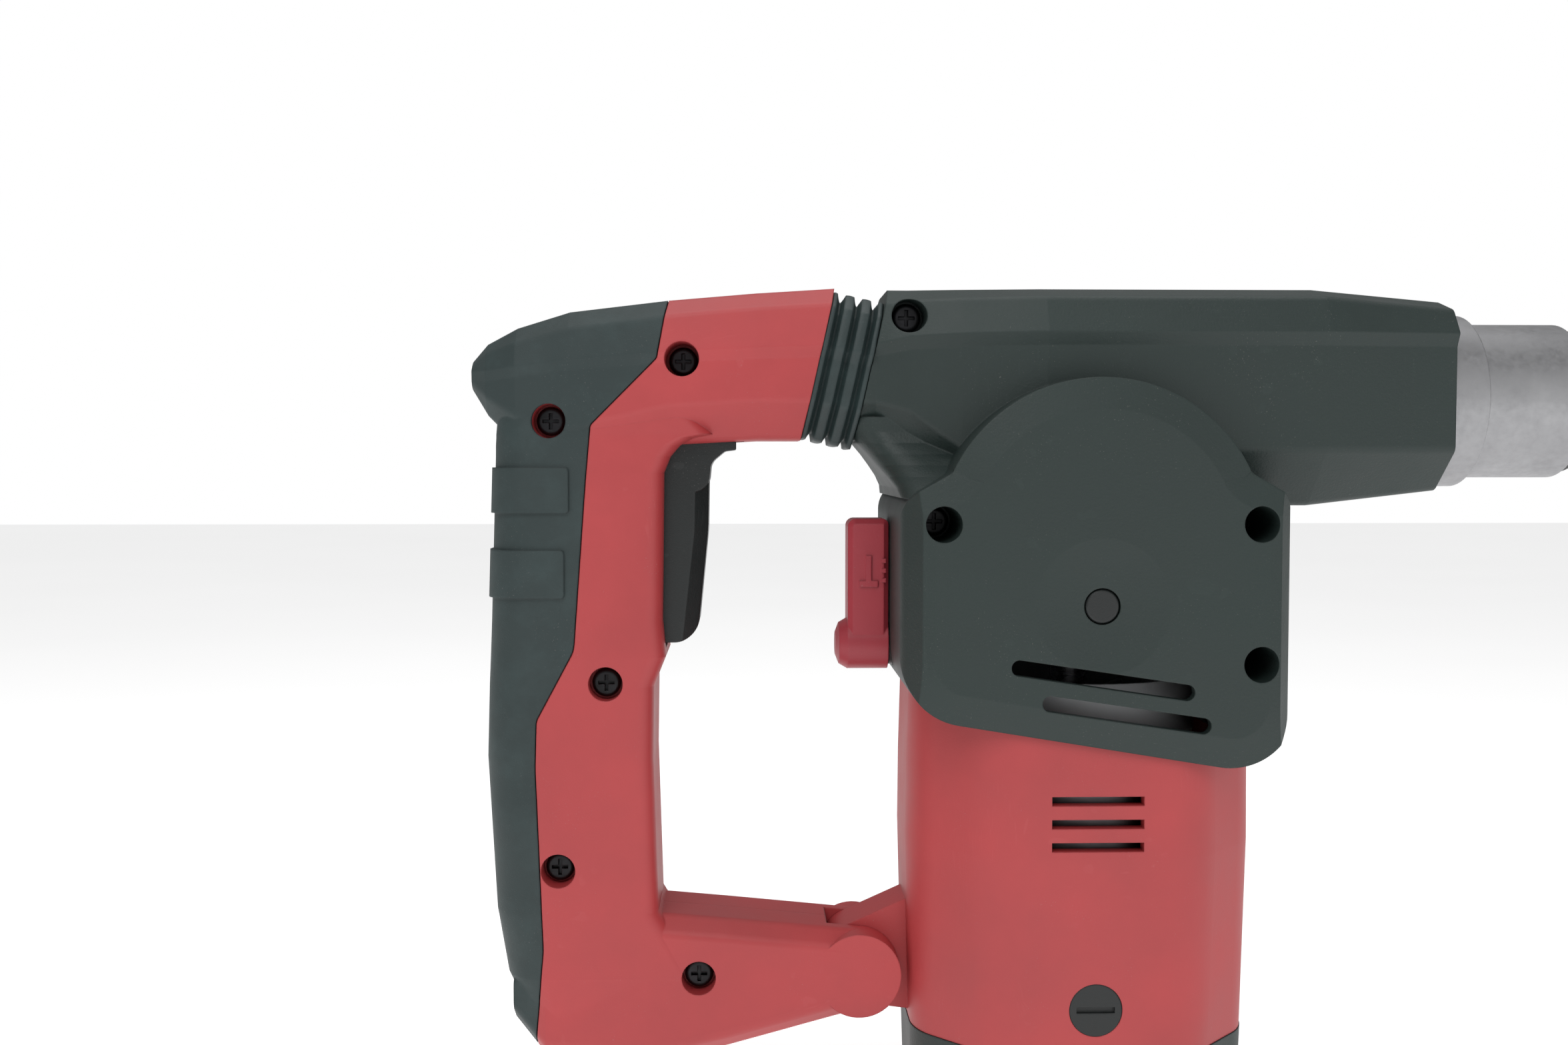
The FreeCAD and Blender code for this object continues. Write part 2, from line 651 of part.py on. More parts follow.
def build_handle():
    """Handle halves, soft covers, screws and pins."""
    outer = handle_solid().cut(bellows_cut(1))
    inner = handle_solid(overmould)
    region = grip_region()
    covered = outer.common(region)
    core = fuse([outer.cut(region), covered.common(inner)])
    skin = covered.common(grip_region(joint_line)).cut(inner)
    skin = fuse([skin] + [band.cut(outer.common(inner)) for band in grip_pads()])
    cavity = handle_solid(overmould + handle_wall)
    bulkhead = box((-86.0, -83.0), (-30, 30), (-30, 50)).common(outer)
    bosses = [cylinder("y", boss_radius, -30, 30, x, z).common(core) for x, z, d in handle_screws]
    pivot_boss = cylinder("y", pivot_boss_radius, -15.0, 15.0, pivot_x, pivot_z).common(core)
    rib = box((-103.5, -94.5), (-30, 30), (-6.5, 4.5)).common(core)
    bosses += [pivot_boss, rib, bulkhead.common(core)]
    shell = fuse([core.cut(cavity)] + bosses)
    slot = trigger_half_width + fit_gap
    cuts = [box((-128.0, -91.5), (-slot, slot), (-68.0, -4.0)),
            cylinder("y", 5.3, -slot, slot, trigger_pivot_x, trigger_pivot_z),
            box((-112.0, -94.0), (-slot, slot), (-12.0, -1.0)),
            cylinder("y", trigger_pin_radius + running_gap, -slot - 5.0, slot + 5.0, trigger_pivot_x,
                     trigger_pivot_z),
            box((-86.0, -40.0), (-lug_half_width - fit_gap, lug_half_width + fit_gap),
                (pivot_z - 13.5, pivot_z + 13.5)).common(
                    cylinder("y", 15.0, -20, 20, pivot_x, pivot_z)),
            cylinder("y", pivot_radius, -13.5, 13.5, pivot_x, pivot_z)]
    sx, sy, sz = switch_box()
    cuts.append(box((sx[0] - 0.2, sx[1] + 0.2), (sy[0] - 0.2, sy[1] + 0.2), (sz[0] - 0.2, sz[1] + 0.2)))
    gland_hole = gland_form(0.0, True)
    cuts.append(gland_hole)
    screws = []
    screw_cuts = []
    for x, z, depth in handle_screws:
        head_y = -(17.5 - depth)
        screw_cuts.append(cylinder("y", recess_radius, -40.0, head_y, x, z))
        cuts.append(cylinder("y", screw_radius + fit_gap, head_y - 1, 0.0, x, z))
        cuts.append(cylinder("y", screw_radius + running_gap, -0.5, 13.0, x, z))
        screws.append(screw_at(x, z, head_y, 12.5))
    shell = cut(shell, cuts + screw_cuts)
    skin = cut(skin, screw_cuts + [gland_hole])
    right, left = halves(shell)
    cover_right, cover_left = halves(skin)
    return {"handle_right": largest(right), "handle_left": largest(left),
            "grip_cover_right": largest(cover_right), "grip_cover_left": largest(cover_left),
            "handle_screws": Part.makeCompound(screws)}


def gland_form(grow, hole=False):
    """Stepped body of the cord gland, pointing down and back from the heel of the grip."""
    reach = 40.0
    profile = [(-10.0, 0.0), (-10.0, 8.0), (-4.0, 8.0), (-4.0, 6.0), (0.0, 6.0), (0.0, 8.0), (3.0, 8.0),
               (3.0, 6.6), (22.0, 5.4), (22.0, 0.0)]
    if hole:
        profile = [(-16.0, 0.0), (-16.0, 8.1), (-3.9, 8.1), (-3.9, 6.1), (-0.1, 6.1), (-0.1, 8.1), (reach, 8.1),
                   (reach, 0.0)]
    body = turned(profile, "x")
    body.rotate(Vector(0, 0, 0), Vector(0, 1, 0), 110)
    body.translate(Vector(-140.0, 0, -181.5))
    return body


def cord_gland():
    """Flexible sleeve where the cord would leave the handle."""
    body = gland_form(0.0)
    bore = turned([(-20.0, 0.0), (-20.0, 3.6), (40.0, 3.6), (40.0, 0.0)], "x")
    bore.rotate(Vector(0, 0, 0), Vector(0, 1, 0), 110)
    bore.translate(Vector(-140.0, 0, -181.5))
    return body.cut(bore)


def bellows():
    """Two-fold rubber boot with the arm's own section, leaning forward."""
    flat = 2.4
    fold = 2.2
    length = 2 * bellows_lip * 0.75 + 2 * flat + 3 * fold
    xs = [0.0, bellows_lip * 0.75]
    depths = [0.0, 0.0]
    for _ in range(2):
        xs += [xs[-1] + fold / 2, xs[-1] + fold, xs[-1] + fold + flat]
        depths += [bellows_groove, 0.0, 0.0]
    xs += [xs[-1] + fold / 2, xs[-1] + fold, length]
    depths += [bellows_groove, 0.0, 0.0]
    outer = section_loft([(bellows_rear_x + x, arm_section(d)) for x, d in zip(xs, depths)])
    inner = section_loft([(bellows_rear_x + x, arm_section(d + 2 * bellows_wall)) for x, d in zip(xs, depths)])
    return tilted(outer.cut(inner))


def helix_spring(radius, wire, low, high, turns, axis, u, v):
    """Round-wire compression spring between low and high along an axis."""
    pitch = (high - low - 2 * wire) / turns
    path = Part.makeHelix(pitch, pitch * turns, radius)
    circle = Part.Wire([Part.makeCircle(wire, Vector(radius, 0, 0), Vector(0, 1, 0.06))])
    spring = Part.Wire(path.Edges).makePipeShell([circle], True, True)
    spring.translate(Vector(0, 0, low + wire))
    if axis == "x":
        spring.rotate(Vector(0, 0, 0), Vector(0, 1, 0), 90)
        spring.translate(Vector(0, u, v))
    else:
        spring.translate(Vector(u, v, 0))
    return spring


# ---- Trigger and switch -------------------------------------------------------------------------
def trigger():
    """Long lever trigger with its pivot eye hidden in the arm."""
    corners = [(-101.0, -12.0, 3.0), (-109.0, -7.5, 0.0), (-121.0, -7.5, 2.0), (-123.0, -64.0, 2.0),
               (-113.0, trigger_bottom_z, 2.0), (-104.4, trigger_bottom_z, 7.0), (-101.4, -36.0, 60.0)]
    blade = prism(corners, "xz", -trigger_half_width, trigger_half_width)
    bevel_run, bevel_drop = 4.2, 3.2
    plans = []
    for z, front in ((-70.0, -104.8), (-36.0, -101.0), (0.0, -100.4)):
        plans.append((z, [(-130.0, -trigger_half_width, 0), (front - bevel_run, -trigger_half_width, 0),
                          (front, bevel_drop - trigger_half_width, 1.2), (front, trigger_half_width - bevel_drop, 1.2),
                          (front - bevel_run, trigger_half_width, 0), (-130.0, trigger_half_width, 0)]))
    blade = blade.common(plan_loft(plans))
    tab = prism([(-107.0, -8.0, 0), (-93.7, -8.0, 0), (-93.7, -13.8, 0.5), (-96.8, -14.2, 2.0),
                 (-100.6, -17.4, 4.0), (-101.2, -24.0, 4.0), (-107.0, -26.0, 0)], "xz",
                -trigger_half_width, trigger_half_width)
    blade = blade.fuse(tab)
    eye = cylinder("y", 5.0, -trigger_half_width, trigger_half_width, trigger_pivot_x, trigger_pivot_z)
    web = box((-108.0, -95.5), (-trigger_half_width, trigger_half_width), (-9.0, -1.0))
    body = fuse([blade, web, eye])
    bore = cylinder("y", trigger_pin_radius + running_gap, -20, 20, trigger_pivot_x, trigger_pivot_z)
    hollow = box((-118.0, -106.0), (-7.0, 7.0), (-60.0, -14.0))
    return body.cut(bore).cut(hollow)


def switch_parts():
    """Switch body, plunger and the trigger's return spring."""
    sx, sy, sz = switch_box()
    body = box(sx, sy, sz)
    bore = cylinder("x", 3.0 + 0.1, sx[0] + 6.0, sx[1] + 1.0, 0.0, -50.0)
    plunger = cylinder("x", 3.0, sx[0] + 14.5, -123.6, 0.0, -50.0)
    return body.cut(bore), plunger


# ---- Mode selector ------------------------------------------------------------------------------
def mode_lever():
    """Flag-shaped lever on a round hub, with a plain hammer sign on its right side."""
    blade = prism([(-62.7, selector_z, 0), (-51.4, selector_z, 0), (-51.4, lever_top_z, 1.6),
                   (-62.7, lever_top_z, 2.2)], "xz", -lever_half_width, lever_half_width)
    edges = [e for e in blade.Edges if e.BoundBox.YLength < 0.01 and e.BoundBox.XMax < -55]
    blade = blade.makeChamfer(1.4, edges) if edges else blade
    hub = turned([(selector_hub_rear_x, 0.0), (selector_hub_rear_x, 3.2), (-65.0, 5.8), (-62.6, selector_hub_radius),
                  (selector_front_x, selector_hub_radius), (selector_front_x, 0.0)], "x", 0.0, selector_z)
    lever = fuse([blade, hub])
    face = -lever_half_width
    sign = [box((-57.8, -56.2), (face - 0.5, face + 0.2), (-50.0, -43.0)),
            box((-59.6, -54.4), (face - 0.5, face + 0.2), (-51.8, -50.0))]
    for z in (-50.5, -47.8, -45.1):
        sign.append(box((-53.4, -52.2), (face - 0.5, face + 0.2), (z, z + 1.2)))
    lever = fuse([lever] + sign)
    socket = cylinder("x", selector_shaft_radius, selector_front_x - 8.0, selector_front_x + 1, 0.0, selector_z)
    return lever.cut(socket)


def selector_shaft():
    """Steel shaft that turns with the lever and ends in an eccentric pin."""
    shaft = cylinder("x", selector_shaft_radius, selector_front_x - 8.0, selector_shaft_end_x, 0.0, selector_z)
    pin = cylinder("x", 1.2, selector_shaft_end_x - 1, selector_shaft_end_x + 2.4, 0.0, selector_z + 2.0)
    return fuse([shaft, pin])


def selector_disc():
    """Dark friction washer between lever and housing."""
    return tube("x", selector_disc_radius, selector_shaft_radius + fit_gap, -51.1, -tower_half_length + 1.9,
                0.0, selector_z)


# ---- Motor housing -------------------------------------------------------------------------------
def motor_plan(depth, grow=0.0):
    """Plan outline of the motor housing, moved in by depth."""
    return [(x, y, max(r - depth, 1.0)) for x, y, r in inset(motor_opening(0.0), depth - grow)]


def motor_housing():
    """Drum around the motor, with the stator seat, brush pockets and the handle's pivot lug."""
    outer = plan_loft([(cover_top_z, motor_plan(0.8)), (-120.0, motor_plan(-0.6)), (-100.0, motor_plan(-0.4)),
                       (motor_top_z, motor_plan(0.2))])
    inner = plan_loft([(cover_top_z - 1, motor_plan(motor_wall + 0.8)), (motor_top_z + 1, motor_plan(motor_wall))])
    shell = outer.cut(inner).cut(above_rim(motor_overlap))
    lug = prism([(-40.0, cover_top_z + 1.0, 0), (-40.0, pivot_z + 22.0, 4.0), (pivot_x - 9.0, pivot_z + 9.0, 8.9),
                 (pivot_x - 9.0, pivot_z - 9.0, 8.9)], "xz", -lug_half_width, lug_half_width)
    lug = lug.cut(inner)
    pocket = tube("y", 8.0, 5.0, -motor_half_width - 1.0, -28.0, 0.0, commutator_z + 6.0)
    pockets = [pocket, pocket.mirror(Vector(0, 0, 0), Vector(0, 1, 0))]
    body = fuse([shell, lug])
    seat = tube("z", 44.0, stator_radius + 0.05, stator_bottom_z - 4.0, stator_bottom_z + 12.0)
    seat = seat.common(outer)
    floor = tube("z", 44.0, stator_radius - 4.0, stator_bottom_z - 4.0, stator_bottom_z - 0.05).common(outer)
    body = fuse([body, seat, floor])
    bores = [cylinder("y", 7.0, -60, 60, 0.0, commutator_z + 8.0),
             cylinder("y", pivot_radius + running_gap, -20, 20, pivot_x, pivot_z)]
    for z in (-118.0, -112.0, -106.0):
        bores.append(box((-12.0, 12.0), (-60, 60), (z, z + 2.4)))
    return cut(body, bores)


def end_cover():
    """Dark cap with air inlets; its flat floor carries the lower bearing."""
    outer = plan_loft([(motor_bottom_z, motor_plan(5.0)), (motor_bottom_z + 4.0, motor_plan(1.6)),
                       (cover_top_z - 0.1, motor_plan(0.6))])
    inner = plan_loft([(motor_bottom_z + 3.2, motor_plan(8.0)), (cover_top_z + 1, motor_plan(3.8))])
    cup = tube("z", rotor_bearing_radius + 3.0, rotor_bearing_radius + running_gap, motor_bottom_z + 3.0,
               lower_bearing_z + rotor_bearing_height)
    body = fuse([outer.cut(inner), cup])
    slots = []
    for i in range(5):
        z = motor_bottom_z + 10.0 + i * 4.6
        for side in (-1, 1):
            slots.append(box((-24.0, 24.0), sorted((side * 30.0, side * 50.0)), (z, z + 2.2)))
    holes = [cylinder("z", 2.3, motor_bottom_z - 1, -160.0, x, y) for x, y in cover_screw_places()]
    pads = [cylinder("z", 5.0, motor_bottom_z + 1.0, cover_top_z - 0.1, x, y).common(outer)
            for x, y in cover_screw_places()]
    heads = [cylinder("z", 4.2, motor_bottom_z - 1, motor_bottom_z + 6.0, x, y) for x, y in cover_screw_places()]
    return cut(fuse([body] + pads), slots + holes + heads)


def cover_screw_places():
    """The end cover's screws sit near its corners."""
    return [(x, y) for x in (-34.0, 34.0) for y in (-20.0, 20.0)]


def cover_screws():
    """Long screws that clamp the end cover to the motor housing."""
    screws = []
    for x, y in cover_screw_places():
        screw = screw_at(0.0, 0.0, motor_bottom_z + 6.0, -160.5)
        screw.rotate(Vector(0, 0, 0), Vector(1, 0, 0), 90)
        screw.translate(Vector(x, y, 0))
        screws.append(screw)
    return Part.makeCompound(screws)


def motor_bosses():
    """Threaded pillars in the motor housing that take the cover screws."""
    return [tube("z", 5.0, screw_radius + running_gap, cover_top_z, -156.0, x, y) for x, y in cover_screw_places()]


def brush_gear():
    """Screwed caps, brush tubes and carbon brushes on both sides of the commutator."""
    z = commutator_z + 8.0
    cap = cylinder("y", 6.9, -37.4, -34.5, 0.0, z)
    cap = cap.cut(box((-5.0, 5.0), (-38.0, -36.4), (z - 0.8, z + 0.8)))
    holder = cylinder("y", 6.9, -34.3, -16.0, 0.0, z).cut(
        box((-brush_width / 2 - 0.1, brush_width / 2 + 0.1), (-40.0, -10.0), (z - 3.1, z + 3.1)))
    brush = box((-brush_width / 2, brush_width / 2), (-30.0, -commutator_radius - 0.1), (z - 3.0, z + 3.0))
    result = []
    for piece in (cap, holder, brush):
        result.append(Part.makeCompound([piece, piece.mirror(Vector(0, 0, 0), Vector(0, 1, 0))]))
    return result


def air_baffle():
    """Thin ring that leads the fan's air to the exhaust slots."""
    return tube("z", baffle_radius, baffle_radius - 1.0, fan_z - 1.0, fan_z + 15.0)


def stator():
    """Laminated ring with two pole shoes and end windings."""
    ring = tube("z", stator_radius, stator_radius - 6.0, stator_bottom_z, stator_top_z)
    poles = []
    for side in (-1, 1):
        shoe = box(sorted((side * 15.0, side * 32.0)), (-14.0, 14.0), (stator_bottom_z, stator_top_z))
        poles.append(shoe)
    core = fuse([ring] + poles).cut(cylinder("z", stator_bore, -200, -60))
    return core.common(cylinder("z", stator_radius, -200, -60))


def windings():
    """Field coils around the two poles."""
    coils = []
    for side in (-1, 1):
        coil = box(sorted((side * 20.5, side * 28.0)), (-19.0, 19.0), (stator_bottom_z - 5.0, stator_top_z + 5.0))
        coil = coil.cut(box(sorted((side * 10.0, side * 34.0)), (-14.1, 14.1),
                            (stator_bottom_z - 0.1, stator_top_z + 0.1)))
        coil = coil.cut(cylinder("z", stator_bore + 1.5, -200, -60))
        coils.append(coil.cut(tube("z", 60.0, stator_radius - 6.1, stator_bottom_z - 10, stator_top_z + 10)))
    return Part.makeCompound([largest(c) for c in coils])


# ---- Gears ---------------------------------------------------------------------------------------
def spur_gear(teeth, low, high, backlash, turn=0.0):
    """Involute spur gear about Z with its teeth thinned by the backlash."""
    pitch = gear_module * teeth / 2
    base = pitch * math.cos(math.radians(pressure_angle))
    tip = pitch + gear_module * 0.95
    root = pitch - gear_module * 1.25
    half = math.pi / (2 * teeth) - backlash / (2 * pitch)
    involute = math.tan(math.radians(pressure_angle)) - math.radians(pressure_angle)
    blank = cylinder("z", root + 0.05, low, high)
    flank = []
    for i in range(6):
        r = max(base, root) + (tip - max(base, root)) * i / 5
        roll = math.acos(min(1.0, base / r))
        flank.append((r, half + involute - (math.tan(roll) - roll)))
    shapes = [blank]
    for k in range(teeth):
        centre = 2 * math.pi * k / teeth + turn
        spine = [(root - 0.3, flank[0][1])] + flank
        points = [Vector(r * math.cos(centre + a), r * math.sin(centre + a), low) for r, a in spine]
        points += [Vector(r * math.cos(centre - a), r * math.sin(centre - a), low) for r, a in reversed(spine)]
        shapes.append(Part.Face(Part.makePolygon(points + points[:1])).extrude(Vector(0, 0, high - low)))
    return shapes[0].multiFuse(shapes[1:])


def placed(shape, x=0.0, y=0.0, z=0.0):
    """A moved copy."""
    moved = shape.copy()
    moved.translate(Vector(x, y, z))
    return moved


crank_x = -(pinion_teeth + crank_teeth) * gear_module / 2
lay_x = (pinion_teeth + lay_teeth) * gear_module / 2


def rotor_shaft():
    """Rotor shaft with the pinion cut into its upper end."""
    shaft = turned([(-194.0, 0.0), (-194.0, rotor_shaft_radius), (-66.5, rotor_shaft_radius),
                    (-66.5, 4.2), (-53.0, 3.1), (-53.0, 0.0)], "z")
    pinion = spur_gear(pinion_teeth, gear_bottom_z - 1.5, gear_top_z, gear_backlash, math.pi / pinion_teeth)
    return fuse([shaft, pinion])


def rotor_core():
    """Slotted armature with its winding heads."""
    core = tube("z", rotor_radius, rotor_shaft_radius, stator_bottom_z, stator_top_z)
    slots = []
    for k in range(12):
        slot = box((rotor_radius - 3.0, rotor_radius + 1), (-1.1, 1.1), (stator_bottom_z - 1, stator_top_z + 1))
        slot.rotate(Vector(0, 0, 0), Vector(0, 0, 1), 30 * k)
        slots.append(slot)
    heads = [tube("z", rotor_radius - 3.5, rotor_shaft_radius, stator_top_z - 0.5, stator_top_z + 4.0),
             tube("z", rotor_radius - 3.5, rotor_shaft_radius, stator_bottom_z - 4.5, stator_bottom_z + 0.5)]
    return fuse([cut(core, slots)] + heads)


def fan():
    """Radial cooling fan with curved-back blades."""
    disc = tube("z", fan_radius, rotor_shaft_radius, fan_z, fan_z + 2.0)
    hub = tube("z", 9.0, rotor_shaft_radius, fan_z - 2.5, fan_z + 7.0)
    blades = []
    for k in range(11):
        blade = box((12.0, fan_radius - 0.5), (-0.8, 0.8), (fan_z + 1.5, fan_z + 8.0))
        blade.rotate(Vector(12.0, 0, 0), Vector(0, 0, 1), 25)
        blade.rotate(Vector(0, 0, 0), Vector(0, 0, 1), 360 / 11 * k)
        blades.append(blade)
    keep = cylinder("z", fan_radius, fan_z - 5, fan_z + 10)
    return fuse([disc, hub] + blades).common(keep)


def commutator():
    """Copper segments on an insulating sleeve."""
    body = tube("z", commutator_radius, rotor_shaft_radius, commutator_z, commutator_z + 13.5)
    cuts = []
    for k in range(20):
        groove = box((commutator_radius - 0.8, commutator_radius + 1), (-0.25, 0.25),
                     (commutator_z - 1, commutator_z + 14.5))
        groove.rotate(Vector(0, 0, 0), Vector(0, 0, 1), 18 * k)
        cuts.append(groove)
    return cut(body, cuts)


def bearing(inner, outer, low, high, x=0.0, y=0.0):
    """Closed ball bearing about Z as one ring with grooved faces."""
    middle = (inner + outer) / 2
    ring = turned([(low, inner), (low, middle - 1), (low + 0.5, middle - 1), (low + 0.5, middle + 1),
                   (low, middle + 1), (low, outer), (high, outer), (high, middle + 1),
                   (high - 0.5, middle + 1), (high - 0.5, middle - 1), (high, middle - 1), (high, inner)],
                  "z")
    return placed(ring, x, y)


def crank():
    """Crank shaft, gear, disc and pin as one turned and pressed unit about its own axis."""
    turn = math.pi / crank_teeth if crank_teeth % 2 else 0.0
    gear = spur_gear(crank_teeth, gear_bottom_z, gear_top_z, gear_backlash, turn)
    shaft = cylinder("z", crank_shaft_radius, deck_bottom_z + 2.0, -18.0)
    disc = cylinder("z", crank_disc_radius, -16.0, crank_disc_top_z)
    neck = cylinder("z", crank_shaft_radius + 2.0, -19.0, -15.5)
    pin = cylinder("z", crank_pin_radius, crank_disc_top_z - 1, -con_rod_thickness / 2 - crank_pin_gap, crank_radius)
    return placed(fuse([gear, shaft, neck, disc, pin]), crank_x)


def con_rod():
    """Connecting rod from crank pin to wrist pin, drawn at the front dead centre."""
    z = con_rod_thickness / 2
    x0 = crank_x + crank_radius
    x1 = x0 + con_rod_length
    big = cylinder("z", 8.0, -z, z, x0)
    small = cylinder("z", 6.5, -z, z, x1)
    bar = box((x0, x1), (-4.0, 4.0), (-z + 1.5, z - 1.5))
    body = fuse([big, small, bar])
    return cut(body, [cylinder("z", crank_pin_radius + fit_gap, -9, 9, x0),
                      cylinder("z", wrist_pin_radius + running_gap, -9, 9, x1)])


wrist_x = crank_x + crank_radius + con_rod_length


def piston():
    """Hollow piston with a forked rear end and a ring groove near its crown."""
    rear = wrist_x - 9.0
    front = wrist_x + 25.0
    body = cylinder("x", piston_radius, rear, front)
    fork = box((rear - 1, wrist_x + 9.0), (-9.5, 9.5), (-con_rod_thickness / 2 - fit_gap,
                                                     con_rod_thickness / 2 + fit_gap))
    swing = box((rear - 1, wrist_x - 3.0), (-20, 20), (-con_rod_thickness / 2 - fit_gap,
                                                      con_rod_thickness / 2 + fit_gap))
    groove = tube("x", 20.0, piston_radius - 1.9, front - 7.0, front - 4.6)
    pin = cylinder("z", wrist_pin_radius, -11.0, 11.0, wrist_x)
    return cut(body, [fork, swing, groove, pin])


def crank_unit_case():
    """Light-alloy gear case: floor, walls, bearing plate, barrel and the collar for a side handle."""
    floor = box((-case_half_length, case_half_length), (-case_half_width - 8, case_half_width + 8),
                (deck_bottom_z, deck_top_z))
    walls = box((-case_half_length, case_half_length), (-case_half_width, case_half_width),
                (deck_top_z - 1, case_low_top_z))
    upper = box((-case_neck_half, case_half_length - 8.0), (-case_half_width, case_half_width),
                (case_low_top_z - 1, case_top_z))
    room = box((-case_half_length + 2.5, case_half_length - 2.5), (-case_half_width + 3, case_half_width - 3),
               (deck_top_z, case_low_top_z - 1.8))
    loft = box((-case_neck_half + 3, case_neck_half - 3), (-case_half_width + 3, case_half_width - 3),
               (deck_top_z, case_top_z - 7.0))
    tunnel = cylinder("x", barrel_bore - 0.3, 33.0, barrel_front_x + 1.0)
    collar = cylinder("x", collar_radius, barrel_front_x - 3.0, collar_front_x)
    shoulder = cylinder("x", collar_radius + 2.5, barrel_front_x + 0.2, collar_rear_x)
    bridge = box((33.0, case_half_length - 8.2), (-16.0, 16.0), (-34.0, -10.0))
    body = fuse([floor, walls, upper, tunnel, collar, shoulder, bridge])
    return body.cut(room.fuse(loft))


def gear_case():
    """The gear case with every bore."""
    body = crank_unit_case()
    bores = [cylinder("z", rotor_bearing_radius, deck_bottom_z - 1, deck_bottom_z + 6.0),
             cylinder("z", 8.0, deck_bottom_z - 1, case_top_z + 1),
             cylinder("z", 9.0, deck_bottom_z + 1.5, deck_top_z + 1, crank_x),
             cylinder("z", 11.0, case_top_z - 8.0, case_top_z + 20, crank_x),
             cylinder("z", 8.0, deck_bottom_z + 1.5, deck_top_z + 1, lay_x),
             cylinder("z", 9.0, case_top_z - 8.0, case_top_z + 20, lay_x),
             cylinder("x", spindle_radius + 2.0, 32.0, 90.0),
             cylinder("x", holder_radius + fit_gap, 89.0, collar_front_x + 1)]
    return cut(body, bores)


def lay_shaft():
    """Lay shaft with its spur gear and the small bevel pinion."""
    shaft = cylinder("z", 5.0, deck_bottom_z + 2.0, -24.0)
    gear = spur_gear(lay_teeth, gear_bottom_z, gear_top_z, gear_backlash, math.pi / lay_teeth)
    pinion = bevel(bevel_pinion_teeth, bevel_gear_teeth, 0.0)
    neck = cylinder("z", 5.0, -25.0, -21.0)
    return placed(fuse([shaft, neck, gear]), lay_x).fuse(placed(pinion, lay_x))


def bevel(teeth, mate, turn):
    """Straight bevel wheel about Z with its apex at the origin and its large end below it."""
    size = bevel_pinion_radius / bevel_pinion_teeth
    pitch = size * teeth
    depth = size * mate
    cone = math.hypot(pitch, depth)
    back = (cone - bevel_face) / cone
    slope = math.atan2(pitch, depth)
    unit_size = 2 * size

    def ring(height, scale):
        r = (pitch + height * math.cos(slope)) * scale
        z = (-depth + height * math.sin(slope)) * scale
        return r, z
    root_r, root_z = ring(-1.1 * unit_size, 1.0)
    root_r2, root_z2 = ring(-1.1 * unit_size, back)
    blank = turned([(root_z - 1.6, 0.0), (root_z - 1.6, root_r), (root_z, root_r), (root_z2, root_r2),
                    (root_z2, 0.0)], "z")
    thick = math.pi * unit_size / 4 - gear_backlash / 2
    rows = [(-1.25, 1.5), (-0.5, 1.28), (0.0, 1.0), (0.45, 0.7), (0.8, 0.42)]
    tooth_ends = []
    for scale in (1.0, back):
        half = []
        for height, width in rows:
            r, z = ring(height * unit_size, scale)
            half.append((r, width * thick * scale, z))
        points = [Vector(r, w, z) for r, w, z in half]
        points += [Vector(r, -w, z) for r, w, z in reversed(half)]
        tooth_ends.append(Part.makePolygon(points + points[:1]))
    tooth = Part.makeLoft(tooth_ends, True, True)
    teeth_made = []
    for k in range(teeth):
        one = tooth.copy()
        one.rotate(Vector(0, 0, 0), Vector(0, 0, 1), 360 / teeth * k + math.degrees(turn))
        teeth_made.append(one)
    return blank.multiFuse(teeth_made)


def bevel_gear():
    """Large bevel wheel on the spindle, its apex on the lay shaft's axis."""
    wheel = bevel(bevel_gear_teeth, bevel_pinion_teeth, 0.0)
    wheel = wheel.cut(cylinder("z", spindle_radius, -60, 10))
    wheel.rotate(Vector(0, 0, 0), Vector(0, 1, 0), -90)
    return placed(wheel, lay_x)


def spindle():
    """Hollow spindle: cylinder bore behind, bolt guide in front."""
    return turned([(spindle_rear_x - 3.0, cylinder_radius), (spindle_rear_x - 3.0, spindle_radius),
                   (86.0, spindle_radius), (89.0, holder_radius), (mouth_x - bit_depth, holder_radius),
                   (mouth_x - bit_depth, 7.5), (109.5, 7.5), (109.5, 9.0), (94.0, 9.0), (88.0, cylinder_radius)],
                  "x")


def tool_holder():
    """Front sleeve of the spindle with the tool bore and two windows for the locking balls."""
    body = tube("x", holder_radius, bit_radius, mouth_x - bit_depth, mouth_x)
    lip = [e for e in body.Edges if e.BoundBox.XMin > mouth_x - 0.1 and e.BoundBox.YLength > 2 * bit_radius + 1]
    body = body.makeChamfer(2.6, lip)
    windows = [cylinder("z", 3.6, min(0.0, side * 20.0), max(0.0, side * 20.0), ball_x) for side in (-1, 1)]
    return cut(body, windows)


def striking_parts():
    """Striker, its ring, the impact bolt and the piston ring."""
    striker = turned([(62.0, 0.0), (62.0, striker_radius), (70.0, striker_radius), (70.0, 11.0), (72.4, 11.0),
                      (72.4, striker_radius), (84.0, striker_radius), (85.5, 8.0), (92.0, 8.0), (92.0, 0.0)], "x")
    bolt = turned([(97.0, 0.0), (97.0, 8.9), (104.0, 8.9), (105.5, 7.4), (130.0, 7.4), (130.0, 5.0),
                   (138.0, 5.0), (138.0, 0.0)], "x")
    ring = tube("x", cylinder_radius - 0.02, 11.05, 70.1, 72.3)
    front = wrist_x + 25.0
    seal = tube("x", cylinder_radius - 0.02, piston_radius - 1.85, front - 6.9, front - 4.7)
    return striker, bolt, ring, seal


